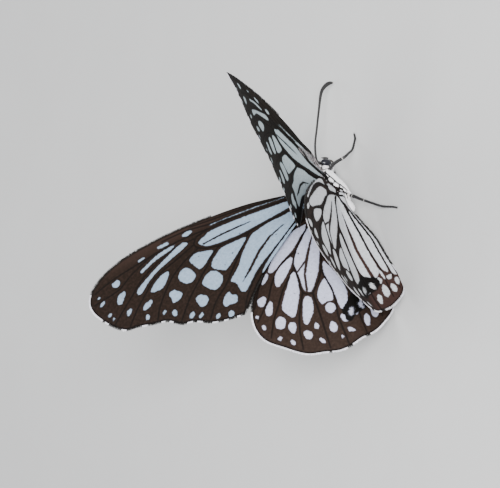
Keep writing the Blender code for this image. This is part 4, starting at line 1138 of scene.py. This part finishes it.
def wing_marks(wing, places, below):
    """What each place of a face carries: vein, its rise, pale windows and the border's tint, which is rust
    brown on the hindwing and a painted sheen along the forewing's front.
    """
    vein, rise = np.full(len(places), 99.0), np.zeros(len(places))
    for points in VEINS[wing]:
        far, along = line_distance(places, smooth_line(points, 0.4))
        start = min(1.0, math.hypot(*points[0]) / 25)
        taper = np.clip(start + along * (1 - start), 0, 1)
        half = VEIN_HALF_WIDTH[0] + (VEIN_HALF_WIDTH[1] - VEIN_HALF_WIDTH[0]) * taper
        tall = VEIN_RISE[0] + (VEIN_RISE[1] - VEIN_RISE[0]) * taper
        rise = np.maximum(rise, tall * np.maximum(0, 1 - (far / (half * 1.6)) ** 2))
        vein = np.minimum(vein, far - half)
    pale = np.full(len(places), -1.0)
    shapes = dict(WINDOWS[wing], **(WINDOWS_BELOW[wing] if below else {}))
    for points in shapes.values():
        pale = np.maximum(pale, shape_depth(places, points))
    pale -= 0.05 * below
    for chain in DARK_LINES[wing] + [[speck] for speck in SPECKS[wing]]:
        pale = np.minimum(pale, -chain_depth(places, chain))
    for chain in LIGHT_LINES[wing]:
        pale = np.maximum(pale, chain_depth(places, chain))
    # The hindwing's inner part is rust brown below. The forewing's front part is painted lighter and browner
    # on both faces, a painted sheen.
    x, y = places.T
    if wing == "hind":
        rust_and_sheen = below * np.clip((3.5 - x) / 4, 0, 1) * np.clip((-y - 7) / 6, 0, 1)
        velvet = chain_depth(places, SCENT_PATCH)
        pale = np.minimum(pale, -velvet)
        for points in SCENT_SPOTS:
            pale = np.maximum(pale, shape_depth(places, points) * 0.35)
        rust_and_sheen = np.where(velvet > -0.3, -np.clip(velvet / 0.3 + 1, 0, 1), rust_and_sheen)
    else:
        rust_and_sheen = np.clip((y - 1.0) / 2.5, 0, 1) * np.clip((x - 12) / 8, 0, 1)
    return vein, rise, pale, rust_and_sheen


def wing_sheet(places, below):
    """Where places of the flat wing lie on its OFBake sheet."""
    return (places + (0, -WING_SHEET_DROP * below) - np.array(WING_SHEET_CORNER)) / WING_SHEET_SIZE


def wing_mesh(wing, side, name, plan):
    """Bends the flat wing into its place and gives it two faces and a closed rim."""
    flat, faces, rim, edge = plan
    middle = on_wing(wing, side, flat[:, 0], flat[:, 1])
    up = wing_normal(wing, side, flat[:, 0], flat[:, 1])
    # The membrane thins out towards its rim, and the veins sink into it there.
    thick = WING_HALF_THICK * (0.35 + 0.65 * np.clip(edge / 0.5, 0, 1))
    above = wing_marks(wing, flat, False)
    under_places = np.stack(drawn_in(wing, side, flat[:, 0], flat[:, 1]), 1)
    if side < 0:
        under_places = pattern_place(wing, under_places)
    under = wing_marks(wing, under_places, True)
    count = len(flat)
    both = np.vstack([
        middle + up * (thick + above[1] * np.clip(edge / 0.4, 0, 1))[:, None],
        middle - up * (thick + under[1] * np.clip(edge / 0.4, 0, 1))[:, None]])
    both[:, 2] = np.maximum(both[:, 2], FOOT_LEVEL + 0.01)
    top = faces if side < 0 else faces[:, ::-1]
    bottom = faces[:, ::-1] + count if side < 0 else faces + count
    ring = np.arange(rim)
    after = (ring + 1) % rim
    wall = np.stack([ring, after, after + count, ring + count], 1)
    if side < 0:
        wall = wall[:, ::-1]
    spread = np.vstack([wing_sheet(flat, False), wing_sheet(flat, True)])
    made = build(name, both, top.tolist() + bottom.tolist() + wall.tolist(), spread)
    made.data.polygons.foreach_set(
        "material_index", [0] * len(faces) + [1] * len(faces) + [0] * rim)
    for key, at, least, most in (("vein", 0, -1, 3), ("pale", 2, -1, 2), ("rust_and_sheen", 3, -1, 1)):
        keep_value(made.data, key, np.clip(np.concatenate([above[at], under[at]]), least, most))
    keep_value(made.data, "edge", np.tile(edge, 2))
    return made


# Rows of overlapping scales, laid along the wing: their number across and down the sheet.
SCALES_ON_SHEET = (330, 620, 1)
scale_group = start_group("wing_scales", [], ["Tone", "Mottle", "Height"])
laid = add(scale_group, "ShaderNodeUVMap", uv_map="OFBake").outputs[0]
laid_long = add(scale_group, "ShaderNodeMapping", {
    "Vector": laid, "Scale": SCALES_ON_SHEET}).outputs[0]
scales = add(scale_group, "ShaderNodeTexVoronoi", {
    "Vector": laid_long, "Scale": 1.0, "Randomness": 0.7}, voronoi_dimensions="2D")
mottle = add(scale_group, "ShaderNodeTexNoise", {
    "Vector": laid, "Scale": 150.0, "Detail": 6.0, "Roughness": 0.65}, noise_dimensions="2D")
split = add(scale_group, "ShaderNodeSeparateColor", {0: scales.outputs["Color"]})
add(scale_group, "NodeGroupOutput", {
    0: split.outputs[0], 1: mottle.outputs[0], 2: scales.outputs["Distance"]})


BORDER_BLACK = (0.0036, 0.0030, 0.0027, 1)
# Each face's brown, rust brown (along the forewing's front also the colour of a painted sheen), pale and
# shaded pale colour, and the rust brown's share.
FACES = {
    ("fore", 1): (
        "forewing_top_scales", (0.0094, 0.0061, 0.0044, 1), (0.0254, 0.0149, 0.0116, 1),
        (0.2251, 0.292, 0.3711, 1), (0.1764, 0.2372, 0.3102, 1), 0.55),
    ("fore", -1): (
        "forewing_under_scales", (0.0041, 0.0033, 0.0028, 1), (0.0099, 0.0072, 0.005, 1),
        (0.2981, 0.3528, 0.3771, 1), (0.2312, 0.2798, 0.2981, 1), 0.4),
    ("hind", 1): (
        "hindwing_top_scales", (0.016, 0.0099, 0.0075, 1), (0.0321, 0.0204, 0.0155, 1),
        (0.4197, 0.4319, 0.5475, 1), (0.3406, 0.3528, 0.4441, 1), 0.55),
    ("hind", -1): (
        "hindwing_under_scales", (0.0066, 0.0047, 0.0038, 1), (0.0387, 0.0199, 0.0166, 1),
        (0.5049, 0.5171, 0.5414, 1), (0.4015, 0.4136, 0.438, 1), 0.45),
}


def wing_finish(name, dark, rust_and_sheen, pale, shade, rusty):
    """Scaled membrane: dark along veins and borders, glassy pale in the windows."""
    made, tree, shader = start_finish(name)
    tone, mottled, height = add(tree, "ShaderNodeGroup", node_tree=scale_group).outputs
    tint = carried(tree, "rust_and_sheen")
    loose = sums(tree, "MULTIPLY_ADD", tone, 0.08, -0.04)
    wavy = sums(tree, "MULTIPLY_ADD", mottled, 0.26, -0.13)
    ragged = sums(tree, "ADD", sums(tree, "ADD", carried(tree, "pale"), loose), wavy)
    share = ramp(tree, ragged, -0.07, 0.09)
    brown = blend(tree, ramp(tree, mottled, 0.38, 0.70, 0.0, rusty), dark, rust_and_sheen)
    # First the border's tint: rust brown on the hindwing, a painted sheen along the forewing's front.
    for value, low, high, at_low, at_high, colour in (
            (tint, 0.0, 1.0, 0.0, 0.8, rust_and_sheen), (tone, 0.3, 1.0, 0.0, 0.30, toned(dark, 1.6)),
            (carried(tree, "vein"), -0.02, 0.12, 0.75, 0.0, BORDER_BLACK),
            (carried(tree, "edge"), 0.05, 0.45, 0.8, 0.0, BORDER_BLACK),
            (tint, -0.9, -0.1, 1.0, 0.0, BORDER_BLACK)):
        brown = blend(tree, ramp(tree, value, low, high, at_low, at_high), brown, colour)
    light = blend(tree, ramp(tree, mottled, 0.3, 0.7), shade, pale)
    light = blend(tree, ramp(tree, ragged, 0.05, 0.5, 0.4, 0.0), light, shade)
    light = blend(tree, ramp(tree, tone, 0.94, 0.98, 0.0, 0.22), light, dark)
    feed(tree, shader, {
        "Base Color": blend(tree, share, brown, light),
        "Roughness": ramp(tree, share, 0.0, 1.0, 0.7, 0.5),
        "Normal": relief(tree, 0.35, 0.00003, height, True), "Specular IOR Level": 0.05})
    return made


FINISHES = {face: wing_finish(*looks) for face, looks in FACES.items()}
wing_plans = {wing: wing_plan(wing) for wing in OUTLINES}
for wing, slot in (("fore", "forewing"), ("hind", "hindwing")):
    for side, name in PAIR:
        made = wing_mesh(wing, side, slot + "_" + name + "_membrane", wing_plans[wing])
        made.data.materials.append(FINISHES[wing, 1])
        made.data.materials.append(FINISHES[wing, -1])
        set_in_place(made, None, slot, slot + "_" + name)


# Fringe and hair of the wings.
# Flat hair-scales stand out from the wing's edge, white between the veins and black at
# them. Long soft hairs lie over the wing roots and along the hindwing's inner edge.
FRINGE_STEP = 0.075
FRINGE_LENGTH = (0.36, 0.5)
FRINGE_HALF = 0.05
# The shares of the wing's outline between which the fringe runs.
FRINGE_SPAN = {"fore": (0.185, 0.80), "hind": (0.13, 0.93)}
# White stretches of the forewing's fringe: places, each with its half width.
FRINGE_WHITE = [
    [(40.9, 0.2, 0.5), (41.1, -2.5, 0.6), (40.4, -4.9, 0.5)], [(39.7, -6.2, 0.45)],
    [(37.5, -9.0, 0.5)], [(34.0, -10.2, 0.5)], [(31.0, -11.4, 0.4)], [(29.8, -12.1, 0.4)],
    [(27.0, -13.8, 0.5)], [(25.5, -14.6, 0.5)], [(23.2, -16.0, 0.5)], [(21.5, -16.7, 0.4)],
    [(19.4, -17.1, 0.3)],
]
ROOT_HAIR_HALF = 0.032
ROOT_HAIR_LIFT = 0.13
# Hair of the wing roots, for each face (true is the under one): the corners of a field,
# the number of hairs strewn over it and their length.
HIND_ROOT_HAIR = [(-0.9, -0.6, 0.5, 0.9, 50, 0.3), (-1.4, -3.4, -0.2, -0.9, 100, 0.5)]
ROOT_HAIR = {
    ("fore", False): [(0.2, 0.6, 4.5, 1.6, 100, 0.5), (-0.3, -0.5, 3.0, 0.7, 120, 0.6)],
    ("fore", True): [(0.2, 0.85, 10.5, 1.75, 1000, 0.55), (-0.3, -0.5, 2.0, 0.5, 60, 0.5)],
    ("hind", False): HIND_ROOT_HAIR, ("hind", True): HIND_ROOT_HAIR,
}
fringe_finish = coat_finish("fringe_scales", (0.008, 0.007, 0.006, 1), (0.80, 0.79, 0.84, 1), 0.08)
root_hair_finish = coat_finish("root_hairs", (0.020, 0.017, 0.015, 1), (0.46, 0.42, 0.43, 1), 0.3)

for wing, slot in (("fore", "forewing"), ("hind", "hindwing")):
    outline = smooth_loop(OUTLINES[wing], FRINGE_STEP)
    along = length_along(outline) / length_along(outline)[-1]
    inward = np.stack([np.gradient(outline[:, 1]), -np.gradient(outline[:, 0])], 1)
    kept = (along > FRINGE_SPAN[wing][0]) & (along < FRINGE_SPAN[wing][1])
    edge_at, outward = outline[kept], -unit(inward[kept])
    outward *= np.where(inside(edge_at + outward * 0.3, outline[:-1]), -1, 1)[:, None]
    spaces = wing_marks(wing, edge_at, False)[0]
    for side, name in PAIR:
        count = len(edge_at)
        slant = outward + coat_chance.normal(0, 0.12, (count, 2))
        base = edge_at - outward * 0.07
        roots = on_wing(wing, side, base[:, 0], base[:, 1])
        ahead = on_wing(wing, side, *(base + slant * 0.1).T) - roots
        ups = wing_normal(wing, side, base[:, 0], base[:, 1])
        roots = roots + ups * coat_chance.uniform(-0.03, 0.03, (count, 1))
        if wing == "fore":
            white = np.maximum.reduce([chain_depth(edge_at, chain) for chain in FRINGE_WHITE])
        else:
            white = np.where(edge_at[:, 1] < -14, spaces - 0.45, -0.5)
        pale = np.clip(white * 2, -0.5, 0.5)
        fringe = tufts(
            slot + "_" + name + "_fringe", roots, ahead, ups,
            coat_chance.uniform(*FRINGE_LENGTH, count), FRINGE_HALF, 0.0, pale,
            wing_sheet(base, False))
        set_in_place(fringe, fringe_finish, slot)
        hair = []
        for below in (False, True):
            for low_x, low_y, high_x, high_y, number, long in ROOT_HAIR[wing, below]:
                base = coat_chance.uniform((low_x, low_y), (high_x, high_y), (number, 2))
                base = base[inside(base, outline[:-1])]
                count = len(base)
                roots = on_wing(wing, side, base[:, 0], base[:, 1])
                way = np.array((1.0, -0.15)) + coat_chance.normal(0, 0.13, (count, 2))
                if wing == "hind":
                    way[:, 1] -= 0.5 + 0.6 * (base[:, 0] < 0.8)
                ahead = on_wing(wing, side, *(base + way * 0.1).T) - roots
                ups = wing_normal(wing, side, base[:, 0], base[:, 1]) * (-1 if below else 1)
                roots = roots + ups * WING_HALF_THICK
                hair.append(tufts(
                    "hair", roots, ahead, ups, long * coat_chance.uniform(0.6, 1.2, count),
                    ROOT_HAIR_HALF, ROOT_HAIR_LIFT,
                    0.35 - 0.04 * base[:, 0] + coat_chance.normal(0, 0.12, count),
                    wing_sheet(base, below)))
        root_hair = join(hair, slot + "_" + name + "_root_hair")
        set_in_place(root_hair, root_hair_finish, slot)


# Floor, light and camera.
# A plain pale studio floor under the feet, three soft lamps, the strongest beside the
# camera, and the long lens of the photograph, rolled with the animal.
bpy.ops.mesh.primitive_plane_add(size=6.0, location=(0, 0, 0))
floor = bpy.context.object
floor.name = "studio_floor"
floor_finish, tree, shader = start_finish("pale_floor")
paper = add(tree, "ShaderNodeTexNoise", {"Vector": place_of(tree), "Scale": 60.0, "Detail": 4.0})
feed(tree, shader, {
    "Base Color": blend(tree, paper.outputs[0], (0.47, 0.47, 0.465, 1), (0.50, 0.50, 0.495, 1)),
    "Roughness": 0.9})
floor.data.materials.append(floor_finish)

world = bpy.data.worlds.new("studio")
bpy.context.scene.world = world
world.use_nodes = True
sky = world.node_tree.nodes["Background"]
feed(world.node_tree, sky, {"Color": (0.92, 0.95, 1.0, 1), "Strength": 0.62})
for name, place, size, power in (
        ("key", (-0.36, -0.48, 0.36), 0.22, 12.0), ("fill", (-0.12, -0.05, 0.45), 0.35, 1.3),
        ("back", (0.35, 0.30, 0.35), 0.30, 1.3)):
    lamp = bpy.data.lights.new(name, "AREA")
    lamp.size = size
    lamp.energy = power
    stand = bpy.data.objects.new(name, lamp)
    stand.location = place
    stand.rotation_euler = (Vector((0, 0, 0.015)) - Vector(place)).to_track_quat("-Z", "Y").to_euler()
    bpy.context.scene.collection.objects.link(stand)

# The camera's right and backward directions and its distance in metres, the photo's lens in
# pixels, and the body's place in the picture, which is 500 pixels wide.
CAMERA_RIGHT = Vector((-0.277, -0.389, -0.879))
CAMERA_BACK = Vector((-0.583, -0.658, 0.476)).normalized()
CAMERA_FAR = 0.45
FOCAL_PIXELS = 2763.0
BODY_IN_PICTURE = Vector((73.92, 58.92, -FOCAL_PIXELS)).normalized()
camera = bpy.data.objects.new("camera", bpy.data.cameras.new("camera"))
bpy.context.scene.collection.objects.link(camera)
bpy.context.scene.camera = camera
camera_right = (CAMERA_RIGHT - CAMERA_BACK * CAMERA_RIGHT.dot(CAMERA_BACK)).normalized()
camera_up = CAMERA_BACK.cross(camera_right)
facing = Matrix((camera_right, camera_up, CAMERA_BACK)).transposed()
turned = BODY_IN_PICTURE.rotation_difference(Vector((0, 0, -1))).to_matrix()
camera.matrix_world = (Matrix.Translation(BODY_AT * 0.001 + CAMERA_BACK * CAMERA_FAR)
                       @ (facing @ turned).to_4x4())
camera.data.lens = FOCAL_PIXELS / 500 * 36
camera.data.sensor_width = 36
camera.data.clip_start = 0.01
camera.data.clip_end = 20
